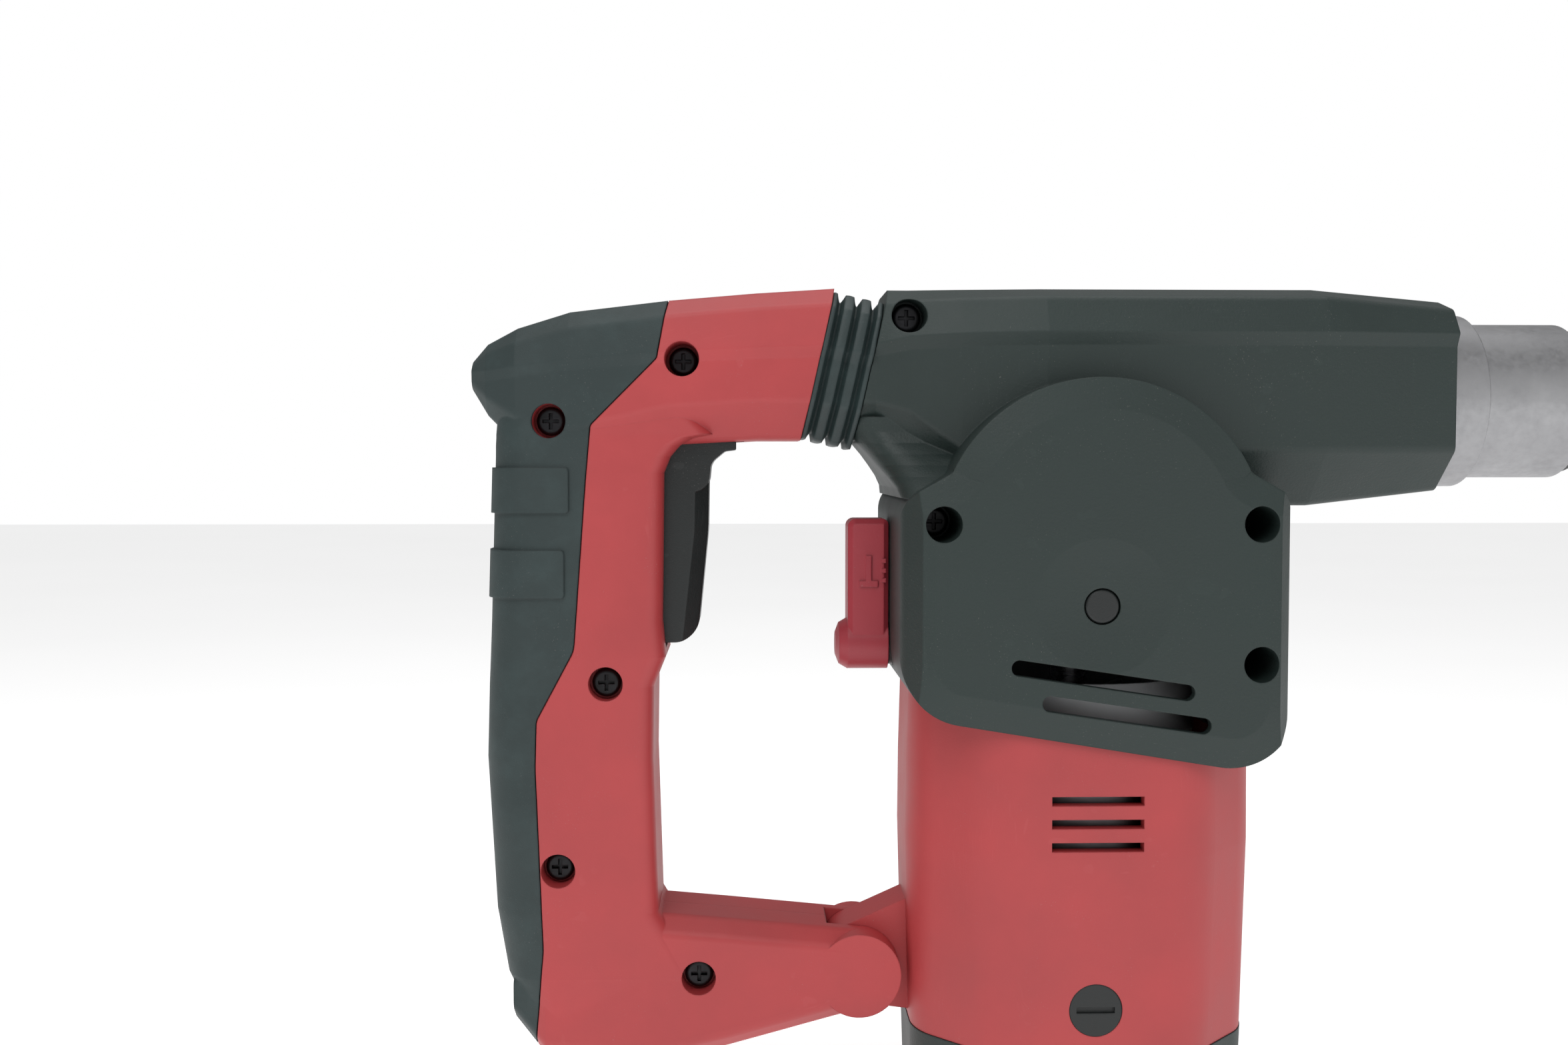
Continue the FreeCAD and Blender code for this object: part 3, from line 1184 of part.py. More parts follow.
def chuck():
    """Pull-back sleeve, front cap, locking balls and the sleeve's spring."""
    sleeve = turned([(sleeve_rear_x, holder_radius + running_gap), (sleeve_rear_x, sleeve_radius - 1.5),
                     (sleeve_rear_x + 1.5, sleeve_radius), (sleeve_rear_x + 9.0, sleeve_radius),
                     (sleeve_rear_x + 14.0, sleeve_radius - 2.0), (sleeve_front_x - 6.0, sleeve_radius - 0.5),
                     (sleeve_front_x, sleeve_radius - 1.5), (sleeve_front_x, 17.0),
                     (173.0, 17.0), (173.0, 15.6), (159.5, 15.6), (159.5, 12.6), (158.0, 12.6), (158.0, 17.0),
                     (149.0, 17.0), (149.0, holder_radius + running_gap)], "x")
    ribs = []
    for k in range(18):
        rib = cylinder("x", 0.9, sleeve_rear_x + 15.0, sleeve_front_x - 5.0, sleeve_radius + 0.15, 0.0)
        rib.rotate(Vector(0, 0, 0), Vector(1, 0, 0), 20 * k)
        ribs.append(rib)
    sleeve = cut(sleeve, ribs)
    cap = turned([(sleeve_front_x + 0.4, holder_radius), (sleeve_front_x + 0.4, 18.5), (sleeve_front_x + 8.0, 16.8),
                  (sleeve_front_x + 16.0, 13.0), (cap_front_x, 9.5), (cap_front_x, 7.5), (mouth_x + 0.1, 7.5),
                  (mouth_x + 0.1, holder_radius - 2.7), (mouth_x - 2.6, holder_radius)], "x")
    balls = Part.makeCompound([Part.makeSphere(3.5, Vector(ball_x, 0, side * 8.8)) for side in (-1, 1)])
    retainer = tube("x", 15.5, 12.4, 160.0, 172.0)
    seat = tube("x", 16.5, holder_radius + running_gap / 5, 149.3, 150.3)
    return sleeve, cap, balls, retainer, seat


def sleeve_spring():
    """Flat-wire coil stack between the spindle's seat and the sleeve's inner wall, drawn as joined rings."""
    rings = 5
    thick = 0.9
    step = (spring_front_x - spring_rear_x - thick) / (rings - 1)
    outline = [(spring_rear_x, spring_inner)]
    for k in range(rings):
        start = spring_rear_x + k * step
        if k > 0:
            outline.append((start, spring_inner + 0.8))
        outline.append((start, spring_outer))
        outline.append((start + thick, spring_outer))
        if k < rings - 1:
            outline.append((start + thick, spring_inner + 0.8))
    outline.append((spring_front_x, spring_inner))
    return turned(outline, "x")


# ---- Export ------------------------------------------------------------------------------------
def save(name, shape):
    """Writes one node, moved so that the tool holder's mouth is the origin."""
    moved = shape.copy()
    moved.translate(Vector(-mouth_x, 0, 0))
    moved.exportStep(os.path.join("parts", name + ".step"))
    print(f"{name:22s} solids {len(moved.Solids)}  volume {moved.Volume:10.0f}  valid {moved.isValid()}")


def main():
    os.makedirs("parts", exist_ok=True)
    right, left, screws = build_housing()
    save("gear_housing_right", largest(right))
    save("gear_housing_left", largest(left))
    save("housing_screws", screws)
    save("plug_right", plug(-1))
    save("plug_left", plug(1))
    for name, shape in build_handle().items():
        save(name, shape)
    save("handle_pivot_pin", cylinder("y", pivot_radius, -13.4, 13.4, pivot_x, pivot_z))
    save("bellows", bellows())
    save("handle_spring", helix_spring(6.0, 0.9, -83.0, -56.0, 6, "x", 0.0, 8.0))
    save("trigger", trigger())
    save("trigger_pin", cylinder("y", trigger_pin_radius, -trigger_half_width - 5.0, trigger_half_width + 5.0,
                                 trigger_pivot_x, trigger_pivot_z))
    switch, plunger = switch_parts()
    save("switch", switch)
    save("switch_plunger", plunger)
    save("cord_gland", cord_gland())
    save("mode_lever", mode_lever())
    save("selector_shaft", selector_shaft())
    save("selector_disc", selector_disc())
    housing = cut(motor_housing(), [cylinder("z", 5.0, -170.0, -157.0, x, y) for x, y in cover_screw_places()])
    save("motor_housing", largest(fuse([housing] + motor_bosses())))
    save("end_cover", end_cover())
    save("cover_screws", cover_screws())
    caps, holders, brushes = brush_gear()
    save("brush_caps", caps)
    save("brush_holders", holders)
    save("carbon_brushes", brushes)
    save("air_baffle", air_baffle())
    save("stator_core", stator())
    save("stator_coils", windings())
    save("rotor_shaft", rotor_shaft())
    save("rotor_core", rotor_core())
    save("fan", fan())
    save("commutator", commutator())
    save("rotor_bearings", Part.makeCompound([
        bearing(rotor_shaft_radius, rotor_bearing_radius, deck_bottom_z - 2.0, deck_bottom_z + 5.9),
        bearing(rotor_shaft_radius, rotor_bearing_radius, lower_bearing_z, lower_bearing_z + rotor_bearing_height)]))
    save("gear_case", gear_case())
    save("crank_gear", crank())
    save("crank_bearings", Part.makeCompound([
        bearing(crank_shaft_radius + running_gap, 9.0, deck_bottom_z + 2.0, deck_top_z - 0.5, crank_x),
        bearing(crank_shaft_radius + running_gap, 11.0, case_top_z - 7.0, case_top_z, crank_x)]))
    save("con_rod", con_rod())
    save("wrist_pin", cylinder("z", wrist_pin_radius, -11.0, 11.0, wrist_x))
    save("piston", piston())
    save("lay_gear", lay_shaft())
    save("lay_bearings", Part.makeCompound([
        bearing(5.0 + running_gap, 8.0, deck_bottom_z + 2.0, deck_top_z - 0.5, lay_x),
        bearing(5.0 + running_gap, 9.0, case_top_z - 7.0, case_top_z, lay_x)]))
    save("bevel_gear", bevel_gear())
    save("spindle", spindle())
    save("tool_holder", tool_holder())
    save("spindle_bearing", tube("x", spindle_radius + 2.0, spindle_radius + running_gap, 60.0, 72.0))
    striker, bolt, ring, seal = striking_parts()
    save("striker", striker)
    save("impact_bolt", bolt)
    save("striker_ring", ring)
    save("piston_ring", seal)
    sleeve, cap, balls, retainer, seat = chuck()
    save("spring_seat", seat)
    save("chuck_sleeve", sleeve)
    save("dust_cap", cap)
    save("locking_balls", balls)
    save("ball_retainer", retainer)
    save("front_seal", tube("x", collar_radius - 1.5, holder_radius + running_gap, collar_front_x + 0.1,
                            collar_front_x + 3.0))
    save("sleeve_spring", sleeve_spring())


main()
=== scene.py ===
import json
import math

import bpy
import numpy as np
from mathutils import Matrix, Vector


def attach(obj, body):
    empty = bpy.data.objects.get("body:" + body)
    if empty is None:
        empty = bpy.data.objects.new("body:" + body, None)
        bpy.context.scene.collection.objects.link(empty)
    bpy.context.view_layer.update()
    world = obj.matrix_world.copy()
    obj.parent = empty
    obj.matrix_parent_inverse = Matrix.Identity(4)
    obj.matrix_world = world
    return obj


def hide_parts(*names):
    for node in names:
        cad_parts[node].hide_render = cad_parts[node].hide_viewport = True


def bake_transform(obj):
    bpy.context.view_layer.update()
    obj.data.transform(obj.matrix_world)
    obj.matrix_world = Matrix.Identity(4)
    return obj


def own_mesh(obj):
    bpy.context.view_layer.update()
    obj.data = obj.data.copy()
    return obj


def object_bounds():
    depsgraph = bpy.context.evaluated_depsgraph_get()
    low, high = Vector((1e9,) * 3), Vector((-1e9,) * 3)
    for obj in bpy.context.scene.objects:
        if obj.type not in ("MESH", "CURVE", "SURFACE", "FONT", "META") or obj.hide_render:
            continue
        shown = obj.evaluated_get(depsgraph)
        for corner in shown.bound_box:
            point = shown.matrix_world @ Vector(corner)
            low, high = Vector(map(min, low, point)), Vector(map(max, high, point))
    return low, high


# Lengths are metres in the row frame. MM turns the drawing's millimetres, which count from the motor axis
# and the spindle axis, into metres; MOUTH is the distance from the motor axis to the tool socket's mouth.
MM = 0.001
MOUTH = 204.0

# ---- Colours (linear) ---------------------------------------------------------------------------
BODY_BLACK = (0.018, 0.032, 0.029, 1)
GRIP_BLACK = (0.022, 0.037, 0.037, 1)
RUBBER_BLACK = (0.022, 0.037, 0.037, 1)
TRIM_BLACK = (0.010, 0.013, 0.013, 1)
RED = (0.50, 0.058, 0.062, 1)
LEVER_RED = (0.40, 0.040, 0.056, 1)
STEEL = (0.50, 0.50, 0.52, 1)
STEEL_DARK = (0.12, 0.12, 0.13, 1)
ALLOY = (0.40, 0.40, 0.41, 1)
COPPER = (0.62, 0.26, 0.12, 1)
GREY = (0.36, 0.37, 0.38, 1)
DUST_ON_PLASTIC = (0.3, 0.29, 0.27, 1)
DUST_ON_RUBBER = (0.25, 0.24, 0.23, 1)
PALE_LOW = (0.88, 0.88, 0.88, 1)
PALE_HIGH = (0.91, 0.91, 0.91, 1)

# ---- The boot (millimetres) -----------------------------------------------------------------------
BOOT_REAR = -71.3          # rear face, at the height the boot leans about
BOOT_HEIGHT = 10.0
BOOT_LEAN = 12.6           # degrees, top forward
BOOT_LIP = 1.2
BOOT_CREST = 2.4
BOOT_FOLD = 2.2
BOOT_DEPTH = 2.2           # depth of a fold below the crests' edges
BOOT_CROWN = 0.15          # how far a crest falls away at its edges
BOOT_EASE = 0.12           # how far the outermost edges are drawn in
BOOT_WALL = 4.0            # the inner skin is drawn in this much more, about 3.8 mm of wall at the sides
ARM_HALF = [(12.0, 29.5, 3.0), (18.5, 25.0, 1.5), (20.5, 14.4, 0.6), (18.8, 11.2, 0.6), (18.8, -1.0, 3.0),
            (11.0, -11.3, 4.0)]
ARM_HALF_WIDTH = 20.0
ARM_MIDDLE = 9.0

# ---- The springs (millimetres): coil radius, wire radius, rear end, front end, turns, height ---------
HANDLE_SPRING = (6.0, 0.9, -83.0, -56.0, 6, 8.0)
SLEEVE_SPRING = (14.6, 0.5, 150.5, 157.8, 4, 0.0)
WIRE_SIDES = 12
STEPS_PER_TURN = 28

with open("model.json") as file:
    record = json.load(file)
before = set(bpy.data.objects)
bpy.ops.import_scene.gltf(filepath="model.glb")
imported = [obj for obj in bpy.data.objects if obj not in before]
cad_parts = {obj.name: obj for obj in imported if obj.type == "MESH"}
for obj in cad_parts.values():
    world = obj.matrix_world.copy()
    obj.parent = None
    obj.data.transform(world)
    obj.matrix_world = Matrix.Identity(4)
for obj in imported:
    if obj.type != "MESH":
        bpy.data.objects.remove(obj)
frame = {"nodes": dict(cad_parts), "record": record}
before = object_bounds()
nodes = frame["nodes"]


# ---- Shared node groups ---------------------------------------------------------------------------
def new_group(name, inputs, outputs):
    """An empty shader group with float or colour sockets; inputs are (name, default)."""
    group = bpy.data.node_groups.new(name, "ShaderNodeTree")
    for label, value in inputs:
        kind = "NodeSocketColor" if isinstance(value, tuple) else "NodeSocketFloat"
        if label == "Vector" or label == "Normal":
            kind = "NodeSocketVector"
            value = None
        made = group.interface.new_socket(label, in_out="INPUT", socket_type=kind)
        if value is not None:
            made.default_value = value
    for label in outputs:
        kind = {"Color": "NodeSocketColor", "Normal": "NodeSocketVector"}.get(label, "NodeSocketFloat")
        group.interface.new_socket(label, in_out="OUTPUT", socket_type=kind)
    return group, group.nodes.new("NodeGroupInput"), group.nodes.new("NodeGroupOutput")


def maths(tree, operation, a, b=None, clamp=False):
    """A math node; a and b are sockets or numbers."""
    node = tree.nodes.new("ShaderNodeMath")
    node.operation = operation
    node.use_clamp = clamp
    for socket, value in zip(node.inputs, (a, b)):
        if isinstance(value, (int, float)):
            socket.default_value = value
        elif value is not None:
            tree.links.new(value, socket)
    return node.outputs[0]


def span(tree, value, low, high, to_low=0.0, to_high=1.0):
    """Maps value from low..high to to_low..to_high, clamped."""
    node = tree.nodes.new("ShaderNodeMapRange")
    tree.links.new(value, node.inputs["Value"])
    for label, number in (("From Min", low), ("From Max", high), ("To Min", to_low), ("To Max", to_high)):
        node.inputs[label].default_value = number
    return node.outputs[0]


def noise(tree, vector, scale, detail=3.0, roughness=0.5):
    """A noise texture's value."""
    node = tree.nodes.new("ShaderNodeTexNoise")
    tree.links.new(vector, node.inputs["Vector"])
    for label, value in (("Scale", scale), ("Detail", detail), ("Roughness", roughness)):
        if isinstance(value, (int, float)):
            node.inputs[label].default_value = value
        else:
            tree.links.new(value, node.inputs[label])
    return node.outputs[0]


def mix_colour(tree, factor, a, b):
    """Blend of two colours."""
    node = tree.nodes.new("ShaderNodeMix")
    node.data_type = "RGBA"
    for socket, value in ((node.inputs[0], factor), (node.inputs[6], a), (node.inputs[7], b)):
        if isinstance(value, (int, float, tuple)):
            socket.default_value = value
        else:
            tree.links.new(value, socket)
    return node.outputs[2]


def make_moulding_group():
    """Moulded surface: fine grain height, slow sheen variation and sparse dust."""
    inputs = [("Vector", None), ("Grain Scale", 1800.0), ("Blotch Scale", 22.0)]
    group, start, end = new_group("Moulding", inputs, ["Height", "Sheen", "Dust"])
    vector = start.outputs["Vector"]
    grain = noise(group, vector, start.outputs["Grain Scale"], 2.0, 0.6)
    swell = noise(group, vector, 240.0, 1.0, 0.4)
    height = maths(group, "ADD", grain, maths(group, "MULTIPLY", swell, 0.35))
    blotch = noise(group, vector, start.outputs["Blotch Scale"], 4.0, 0.6)
    dust = maths(group, "MULTIPLY", span(group, noise(group, vector, 2600.0, 1.0), 0.70, 0.76),
                 span(group, noise(group, vector, 60.0, 2.0), 0.45, 0.7))
    group.links.new(height, end.inputs["Height"])
    group.links.new(span(group, blotch, 0.3, 0.7), end.inputs["Sheen"])
    group.links.new(dust, end.inputs["Dust"])
    return group


def make_scuff_group():
    """Hairline scuffs: thin stretched lines that appear in patches."""
    group, start, end = new_group("Scuffs", [("Vector", None), ("Amount", 0.5)], ["Mask"])
    layers = []
    for i, (angle, stretch) in enumerate(((0.5, 9.0), (1.9, 12.0), (2.7, 7.0))):
        turn = group.nodes.new("ShaderNodeMapping")
        turn.inputs["Rotation"].default_value = (angle, angle * 0.6, angle * 1.3)
        turn.inputs["Scale"].default_value = (40.0, 40.0 * stretch * 6, 40.0)
        group.links.new(start.outputs["Vector"], turn.inputs["Vector"])
        line = noise(group, turn.outputs[0], 3.0 + i, 1.0, 0.3)
        layers.append(span(group, line, 0.712, 0.735))
    patch = span(group, noise(group, start.outputs["Vector"], 30.0, 2.0), 0.5, 0.62)
    most = maths(group, "MAXIMUM", maths(group, "MAXIMUM", layers[0], layers[1]), layers[2])
    mask = maths(group, "MULTIPLY", maths(group, "MULTIPLY", most, patch), start.outputs["Amount"], True)
    group.links.new(mask, end.inputs["Mask"])
    return group


def make_edge_group():
    """Edge mask: how far the rounded normal leans away from the face's own."""
    group, start, end = new_group("Edge Wear", [("Vector", None), ("Radius", 0.0008)], ["Mask", "Normal"])
    bevel = group.nodes.new("ShaderNodeBevel")
    bevel.samples = 4
    group.links.new(start.outputs["Radius"], bevel.inputs["Radius"])
    face = group.nodes.new("ShaderNodeNewGeometry")
    dot = group.nodes.new("ShaderNodeVectorMath")
    dot.operation = "DOT_PRODUCT"
    group.links.new(bevel.outputs[0], dot.inputs[0])
    group.links.new(face.outputs["Normal"], dot.inputs[1])
    lean = maths(group, "SUBTRACT", 1.0, dot.outputs["Value"])
    broken = noise(group, start.outputs["Vector"], 700.0, 3.0, 0.7)
    mask = maths(group, "MULTIPLY", span(group, lean, 0.02, 0.2), span(group, broken, 0.40, 0.62))
    group.links.new(mask, end.inputs["Mask"])
    group.links.new(bevel.outputs[0], end.inputs["Normal"])
    return group


MOULDING = make_moulding_group()
SCUFFS = make_scuff_group()
EDGES = make_edge_group()


# ---- Materials -------------------------------------------------------------------------------------
def use(tree, group, vector, **values):
    """A group node fed with the vector and constant values."""
    node = tree.nodes.new("ShaderNodeGroup")
    node.node_tree = group
    tree.links.new(vector, node.inputs["Vector"])
    for label, value in values.items():
        node.inputs[label.replace("_", " ")].default_value = value
    return node


def start_material(name):
    """A material with its shader and object coordinates ready."""
    made = bpy.data.materials.new(name)
    made.use_nodes = True
    tree = made.node_tree
    shader = tree.nodes["Principled BSDF"]
    coords = tree.nodes.new("ShaderNodeTexCoord").outputs["Object"]
    return made, tree, shader, coords


def bump(tree, shader, height, strength, distance, normal=None):
    """Bump from a height into the shader's normal."""
    node = tree.nodes.new("ShaderNodeBump")
    node.inputs["Strength"].default_value = strength
    node.inputs["Distance"].default_value = distance
    tree.links.new(height, node.inputs["Height"])
    if normal is not None:
        tree.links.new(normal, node.inputs["Normal"])
    tree.links.new(node.outputs[0], shader.inputs["Normal"])


def plastic(name, colour, low, high, grain=1800.0, grain_height=0.25, wear=0.35, worn=None, radius=0.0006,
            scuffs=0.3):
    """Moulded plastic: grained, unevenly handled, paler along its edges, lightly scuffed."""
    made, tree, shader, coords = start_material(name)
    skin = use(tree, MOULDING, coords, Grain_Scale=grain)
    edge = use(tree, EDGES, coords, Radius=radius)
    scuff = use(tree, SCUFFS, coords, Amount=scuffs)
    worn = worn or tuple(min(1.0, c * 2.2 + 0.03) for c in colour[:3]) + (1,)
    darker = tuple(c * 0.82 for c in colour[:3]) + (1,)
    base = mix_colour(tree, skin.outputs["Sheen"], darker, colour)
    base = mix_colour(tree, maths(tree, "MULTIPLY", edge.outputs["Mask"], wear), base, worn)
    base = mix_colour(tree, scuff.outputs["Mask"], base, worn)
    base = mix_colour(tree, maths(tree, "MULTIPLY", skin.outputs["Dust"], 0.25), base, DUST_ON_PLASTIC)
    tree.links.new(base, shader.inputs["Base Color"])
    rough = span(tree, skin.outputs["Sheen"], 0.0, 1.0, low, high)
    rough = maths(tree, "ADD", rough, maths(tree, "MULTIPLY", scuff.outputs["Mask"], 0.2), True)
    tree.links.new(rough, shader.inputs["Roughness"])
    bump(tree, shader, skin.outputs["Height"], grain_height, 0.0002, edge.outputs["Normal"])
    return made


def rubber(name, colour, low, high):
    """Soft black skin: very fine tooth, palms polish it in patches, grey dust in the low spots."""
    made, tree, shader, coords = start_material(name)
    skin = use(tree, MOULDING, coords, Grain_Scale=2600.0, Blotch_Scale=35.0)
    edge = use(tree, EDGES, coords, Radius=0.0008)
    bloom = span(tree, noise(tree, coords, 90.0, 5.0, 0.7), 0.45, 0.75)
    bloomed = tuple(c * 2.0 for c in colour[:3]) + (1,)
    base = mix_colour(tree, maths(tree, "MULTIPLY", bloom, 0.35), colour, bloomed)
    base = mix_colour(tree, maths(tree, "MULTIPLY", skin.outputs["Dust"], 0.3), base, DUST_ON_RUBBER)
    tree.links.new(base, shader.inputs["Base Color"])
    tree.links.new(span(tree, skin.outputs["Sheen"], 0.0, 1.0, low, high), shader.inputs["Roughness"])
    bump(tree, shader, skin.outputs["Height"], 0.3, 0.0002, edge.outputs["Normal"])
    return made


def metal(name, colour, low, high, lines=900.0, axis=(0.02, 1.0, 1.0), patina=None):
    """Machined metal: fine tool lines along one direction, uneven sheen, faint staining."""
    made, tree, shader, coords = start_material(name)
    turn = tree.nodes.new("ShaderNodeMapping")
    turn.inputs["Scale"].default_value = axis
    tree.links.new(coords, turn.inputs["Vector"])
    grind = noise(tree, turn.outputs[0], lines, 3.0, 0.6)
    skin = use(tree, MOULDING, coords, Grain_Scale=1200.0, Blotch_Scale=60.0)
    edge = use(tree, EDGES, coords, Radius=0.0004)
    patina = patina or tuple(c * 0.6 for c in colour[:3]) + (1,)
    base = mix_colour(tree, skin.outputs["Sheen"], patina, colour)
    base = mix_colour(tree, maths(tree, "MULTIPLY", edge.outputs["Mask"], 0.6), base,
                      tuple(min(1.0, c * 1.5 + 0.05) for c in colour[:3]) + (1,))
    tree.links.new(base, shader.inputs["Base Color"])
    shader.inputs["Metallic"].default_value = 1.0
    tree.links.new(span(tree, grind, 0.3, 0.7, low, high), shader.inputs["Roughness"])
    bump(tree, shader, grind, 0.12, 0.0001, edge.outputs["Normal"])
    return made


MATERIALS = {
    "housing_plastic": plastic("Housing Plastic", BODY_BLACK, 0.46, 0.60, grain=1500.0, grain_height=0.4,
                               wear=0.25, scuffs=0.06),
    "red_plastic": plastic("Red Plastic", RED, 0.42, 0.56, grain=2200.0, grain_height=0.14, wear=0.25,
                           worn=(0.62, 0.16, 0.16, 1), scuffs=0.08),
    "soft_grip": rubber("Soft Grip", GRIP_BLACK, 0.50, 0.66),
    "bellows_rubber": rubber("Bellows Rubber", RUBBER_BLACK, 0.42, 0.55),
    "black_plastic": plastic("Trim Plastic", TRIM_BLACK, 0.34, 0.46, grain=2400.0, grain_height=0.18,
                             scuffs=0.2),
    "screw_steel": metal("Blackened Steel", (0.05, 0.05, 0.055, 1), 0.3, 0.45, patina=(0.02, 0.02, 0.02, 1)),
    "steel": metal("Ground Steel", STEEL, 0.2, 0.34),
    "dark_steel": metal("Hardened Steel", STEEL_DARK, 0.25, 0.4),
    "spring_steel": metal("Spring Wire", (0.35, 0.35, 0.36, 1), 0.25, 0.35),
    "light_alloy": metal("Cast Alloy", ALLOY, 0.38, 0.55, lines=500.0, axis=(1.0, 1.0, 1.0),
                         patina=(0.33, 0.33, 0.34, 1)),
    "lamination": metal("Laminations", (0.22, 0.22, 0.23, 1), 0.4, 0.6, lines=2500.0, axis=(0.02, 0.02, 1.0)),
    "copper": metal("Copper", COPPER, 0.25, 0.4),
    "grey_plastic": plastic("Grey Plastic", GREY, 0.4, 0.55, scuffs=0.1),
    "seal_rubber": rubber("Seal Rubber", (0.012, 0.012, 0.013, 1), 0.5, 0.6),
    "carbon": plastic("Carbon", (0.03, 0.03, 0.032, 1), 0.3, 0.45, scuffs=0.1),
}

slots = {entry["node"]: entry["material_slot"] for entry in frame["record"]["subparts"]}
for name, obj in nodes.items():
    obj.data.materials.clear()
    obj.data.materials.append(MATERIALS[slots[name]])
lever_red = plastic("Lever Red", LEVER_RED, 0.36, 0.5, grain=2200.0, grain_height=0.12, wear=0.3,
                    worn=(0.5, 0.10, 0.13, 1), scuffs=0.08)
nodes["mode_lever"].data.materials.clear()
nodes["mode_lever"].data.materials.append(lever_red)


# ---- The boot and the springs, built here in place of the model's own ---------------------------------
def outward(points, faces):
    """The faces, turned round if the closed surface they make encloses a negative volume."""
    volume = 0.0
    for block in faces:
        first = points[block[:, 0]]
        for k in range(1, block.shape[1] - 1):
            volume += np.einsum("ij,ij->i", first, np.cross(points[block[:, k]], points[block[:, k + 1]])).sum()
    return [block[:, ::-1] for block in faces] if volume < 0 else faces


def new_piece(name, points, faces, material, sharp=None):
    """A smooth-shaded piece from points (n, 3) and blocks of faces; edges above the sharp angle stay crisp."""
    mesh = bpy.data.meshes.new(name)
    rows = [face for block in outward(points, faces) for face in block.tolist()]
    mesh.from_pydata(points.tolist(), [], rows)
    mesh.materials.append(material)
    mesh.shade_smooth()
    if sharp is not None:
        mesh.set_sharp_from_angle(angle=sharp)
    obj = bpy.data.objects.new(name, mesh)
    bpy.context.scene.collection.objects.link(obj)
    return obj


def strip(rows, columns, start=0, ring=False):
    """Quads (n, 4) between the rows of a grid whose columns close on themselves; ring closes the rows too."""
    i, j = np.meshgrid(np.arange(rows if ring else rows - 1), np.arange(columns), indexing="ij")
    up, right = (i + 1) % rows, (j + 1) % columns
    quads = np.stack([i * columns + j, up * columns + j, up * columns + right, i * columns + right], -1)
    return quads.reshape(-1, 4) + start


def round_corners(corners, arc):
    """Outline (n, 2) of a closed polygon of (u, v, radius).

    Each corner is a quadratic curve of arc + 1 points between the two places where a fillet of its radius would
    touch the sides: corner + (1 - t)^2 reach back + t^2 reach ahead, with reach = radius / tan(half the angle).
    """
    corners = np.array(corners)
    here = corners[:, :2]
    back, ahead = np.roll(here, 1, 0) - here, np.roll(here, -1, 0) - here
    back /= np.linalg.norm(back, axis=1)[:, None]
    ahead /= np.linalg.norm(ahead, axis=1)[:, None]
    half = np.arccos(np.clip((back * ahead).sum(1), -1, 1)) / 2
    reach = (corners[:, 2] / np.tan(half))[:, None, None]
    t = np.linspace(0, 1, arc + 1)[None, :, None]
    curve = here[:, None] + (1 - t) ** 2 * reach * back[:, None] + t ** 2 * reach * ahead[:, None]
    return curve.reshape(-1, 2)


def boot_outline(shrink):
    """The arm's section at the boot, drawn in by shrink millimetres of its half width."""
    scale = 1 - shrink / ARM_HALF_WIDTH
    full = ARM_HALF + [(-u, v, r) for u, v, r in ARM_HALF[::-1]]
    return round_corners([(u * scale, ARM_MIDDLE + (v - ARM_MIDDLE) * scale, r) for u, v, r in full], 4)


def make_boot():
    """Rubber boot between arm and neck: a flat lip at each end, two crests and three folds.

    Stations along x carry the arm's section, drawn in by a depth; they run along the outside and come back along
    the inside. Across a fold, with t from -1 to 1, the depth is the crown plus BOOT_DEPTH (1 - |t|^1.4). Across a
    crest it is the crown times t^2. The whole then leans by BOOT_LEAN.
    """
    across_fold, across_crest = np.linspace(-1, 1, 11), np.linspace(-1, 1, 7)[1:-1]
    stations = [np.array([[0.0, BOOT_EASE], [BOOT_LIP / 2, 0.0]])]
    x = BOOT_LIP
    for k in range(3):
        depth = BOOT_CROWN + BOOT_DEPTH * (1 - np.abs(across_fold) ** 1.4)
        stations.append(np.column_stack([x + (across_fold + 1) / 2 * BOOT_FOLD, depth]))
        x += BOOT_FOLD
        if k < 2:
            depth = BOOT_CROWN * across_crest ** 2
            stations.append(np.column_stack([x + (across_crest + 1) / 2 * BOOT_CREST, depth]))
            x += BOOT_CREST
    stations.append(np.array([[x + BOOT_LIP / 2, 0.0], [x + BOOT_LIP, BOOT_EASE]]))
    outside = np.concatenate(stations)
    profile = np.concatenate([outside, (outside + [0.0, BOOT_WALL])[::-1]])
    sections = np.array([boot_outline(depth) for depth in profile[:, 1]])
    along = np.broadcast_to(profile[:, :1], sections.shape[:2])
    height = sections[..., 1] - BOOT_HEIGHT
    lean = math.radians(BOOT_LEAN)
    points = np.stack([along * math.cos(lean) + height * math.sin(lean) + BOOT_REAR - MOUTH, sections[..., 0],
                       -along * math.sin(lean) + height * math.cos(lean) + BOOT_HEIGHT], -1)
    rows, columns = points.shape[:2]
    return new_piece("Boot", points.reshape(-1, 3) * MM, [strip(rows, columns, ring=True)],
                     MATERIALS["bellows_rubber"], 0.5)


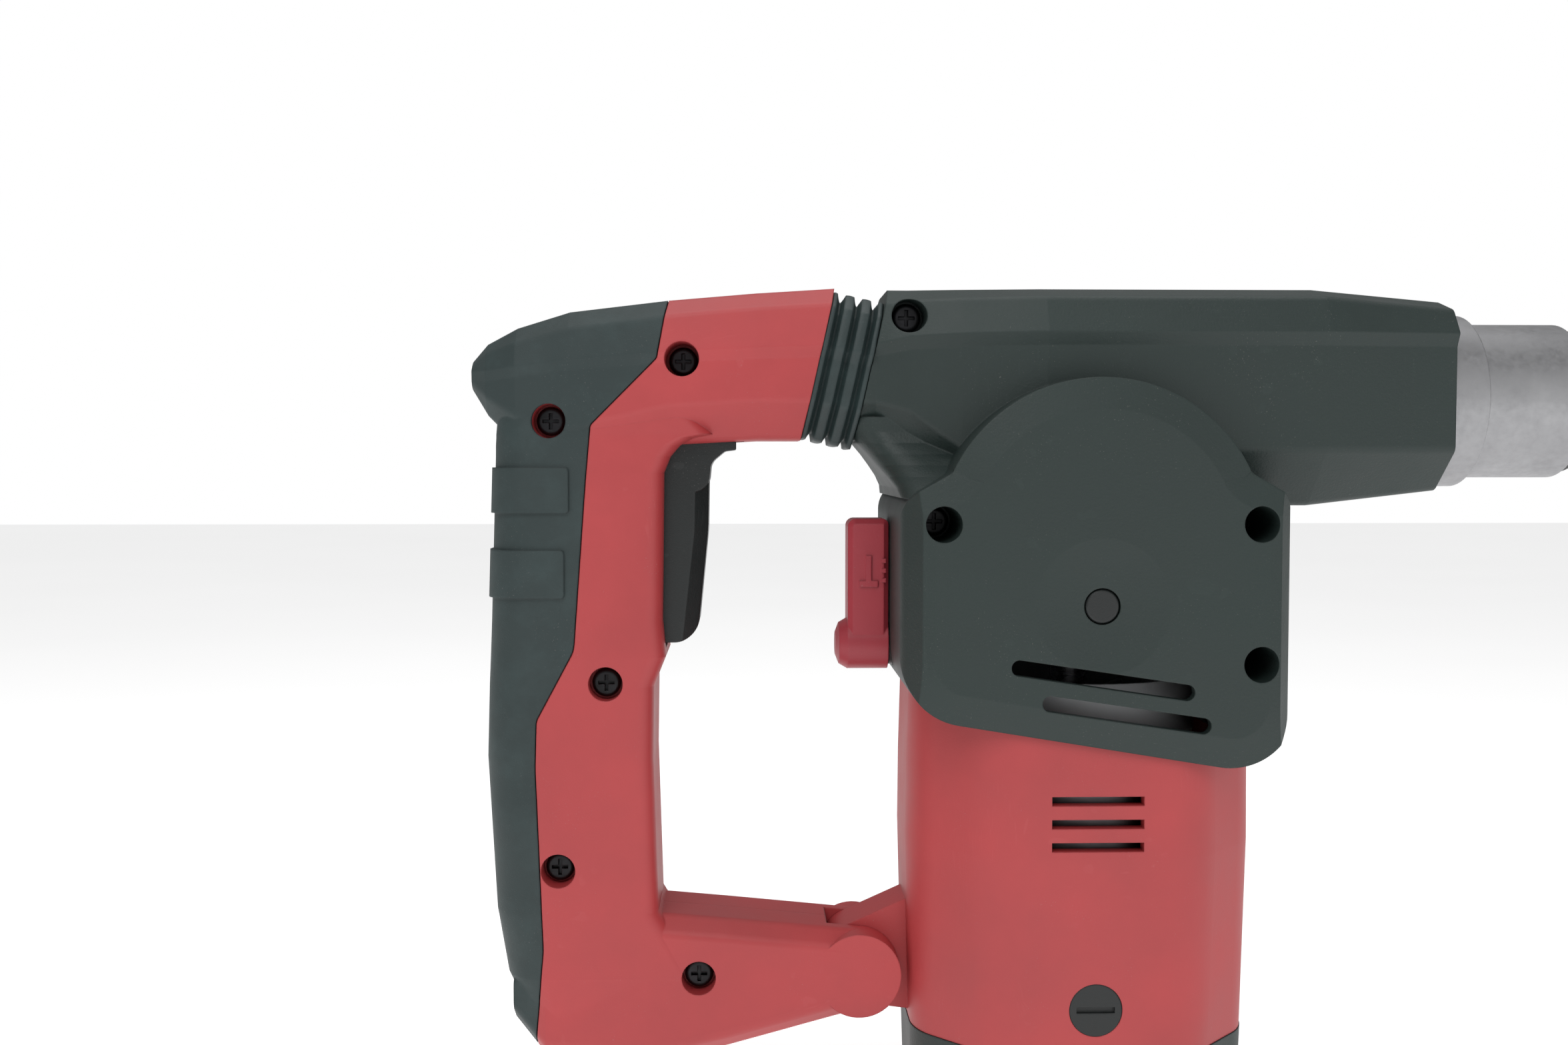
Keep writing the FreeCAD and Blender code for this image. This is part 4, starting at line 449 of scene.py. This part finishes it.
def make_coil(name, radius, wire, low, high, turns, height):
    """Round-wire spring along X between low and high, centred at height.

    The wire's centre is a helix, (low..high, radius cos t, height + radius sin t), and a circle of the wire's
    radius is carried along it; a point closes each end.
    """
    t = np.linspace(0, turns * 2 * math.pi, turns * STEPS_PER_TURN + 1)
    along = low + wire + (high - low - 2 * wire) * t / t[-1]
    centre = np.column_stack([along, radius * np.cos(t), height + radius * np.sin(t)])
    radial = np.column_stack([np.zeros_like(t), np.cos(t), np.sin(t)])
    tangent = np.gradient(centre, axis=0)
    tangent /= np.linalg.norm(tangent, axis=1)[:, None]
    side = np.cross(tangent, radial)
    rim = np.linspace(0, 2 * math.pi, WIRE_SIDES + 1)[:-1][None, :, None]
    rings = centre[:, None] + wire * (np.cos(rim) * radial[:, None] + np.sin(rim) * side[:, None])
    points = np.concatenate([centre[:1], rings.reshape(-1, 3), centre[-1:]])
    points[:, 0] -= MOUTH
    first = 1 + np.arange(WIRE_SIDES)
    last = first + (len(t) - 1) * WIRE_SIDES
    rear_cap = np.column_stack([np.zeros(WIRE_SIDES, int), np.roll(first, -1), first])
    front_cap = np.column_stack([last, np.roll(last, -1), np.full(WIRE_SIDES, len(points) - 1)])
    walls = strip(len(t), WIRE_SIDES, start=1)[:, [0, 3, 2, 1]]
    return new_piece(name, points * MM, [rear_cap, walls, front_cap], MATERIALS["spring_steel"])


boot = make_boot()
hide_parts("bellows")
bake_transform(boot)
coil = make_coil("Handle_Spring", *HANDLE_SPRING)
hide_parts("handle_spring")
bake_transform(coil)
ring = make_coil("Sleeve_Spring", *SLEEVE_SPRING)
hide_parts("sleeve_spring")
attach(ring, "spindle")
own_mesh(ring)


# ---- Stage, light and camera -------------------------------------------------------------------------
def floor_material():
    """Pale card with a barely visible tooth."""
    made, tree, shader, coords = start_material("Pale Card")
    tooth = noise(tree, coords, 400.0, 3.0)
    cloud = span(tree, noise(tree, coords, 3.0, 2.0), 0.3, 0.7)
    tree.links.new(mix_colour(tree, cloud, PALE_LOW, PALE_HIGH), shader.inputs["Base Color"])
    shader.inputs["Roughness"].default_value = 0.9
    shader.inputs["Emission Color"].default_value = (1, 1, 1, 1)
    shader.inputs["Emission Strength"].default_value = 0.55
    bump(tree, shader, tooth, 0.05, 0.0002)
    return made


def add_floor():
    """A large pale sheet just under the object."""
    low = before[0][2] - 0.0005
    mesh = bpy.data.meshes.new("Floor")
    size = 4.0
    mesh.from_pydata([(-size, -size, low), (size, -size, low), (size, size, low), (-size, size, low)], [],
                     [(0, 1, 2, 3)])
    floor = bpy.data.objects.new("Floor", mesh)
    mesh.materials.append(floor_material())
    bpy.context.scene.collection.objects.link(floor)


def add_light(name, place, target, size, power):
    """A soft rectangular lamp aimed at a point."""
    lamp = bpy.data.lights.new(name, "AREA")
    lamp.shape = "RECTANGLE"
    lamp.size, lamp.size_y = size
    lamp.energy = power
    obj = bpy.data.objects.new(name, lamp)
    obj.location = place
    obj.rotation_euler = (Vector(target) - Vector(place)).to_track_quat("-Z", "Y").to_euler()
    bpy.context.scene.collection.objects.link(obj)


def add_world():
    """Surroundings that look white and light the part at about a third of that strength."""
    world = bpy.data.worlds.new("Studio")
    world.use_nodes = True
    tree = world.node_tree
    seen = tree.nodes["Background"]
    seen.inputs["Color"].default_value = (1.0, 1.0, 1.0, 1)
    looked_at = tree.nodes.new("ShaderNodeLightPath").outputs["Is Camera Ray"]
    tree.links.new(span(tree, looked_at, 0.0, 1.0, 0.34, 1.0), seen.inputs["Strength"])
    bpy.context.scene.world = world


def add_camera():
    """Camera to the operator's right of the handle, level with the arm, turned slightly forward and down."""
    lens = bpy.data.cameras.new("Camera")
    lens.lens = 34.4
    lens.sensor_width = 36.0
    lens.clip_start = 0.01
    camera = bpy.data.objects.new("Camera", lens)
    yaw, pitch = math.radians(1.556), math.radians(2.4)
    forward = Vector((math.sin(yaw) * math.cos(pitch), math.cos(yaw) * math.cos(pitch), -math.sin(pitch)))
    camera.location = ((-91.7 - MOUTH) * MM, -420.0 * MM, -16.5 * MM)
    camera.rotation_euler = forward.to_track_quat("-Z", "Y").to_euler()
    bpy.context.scene.collection.objects.link(camera)
    bpy.context.scene.camera = camera


add_floor()
add_world()
add_light("Key", (-0.55, -0.75, 0.75), (-0.25, 0, -0.03), (0.7, 0.7), 4.2)
add_light("Fill", (0.35, -0.9, 0.2), (-0.2, 0, -0.05), (0.9, 0.9), 1.2)
add_light("Top", (-0.25, 0.1, 0.9), (-0.25, 0, 0), (1.0, 0.6), 3.4)
add_camera()
bpy.context.scene.view_settings.view_transform = "Standard"
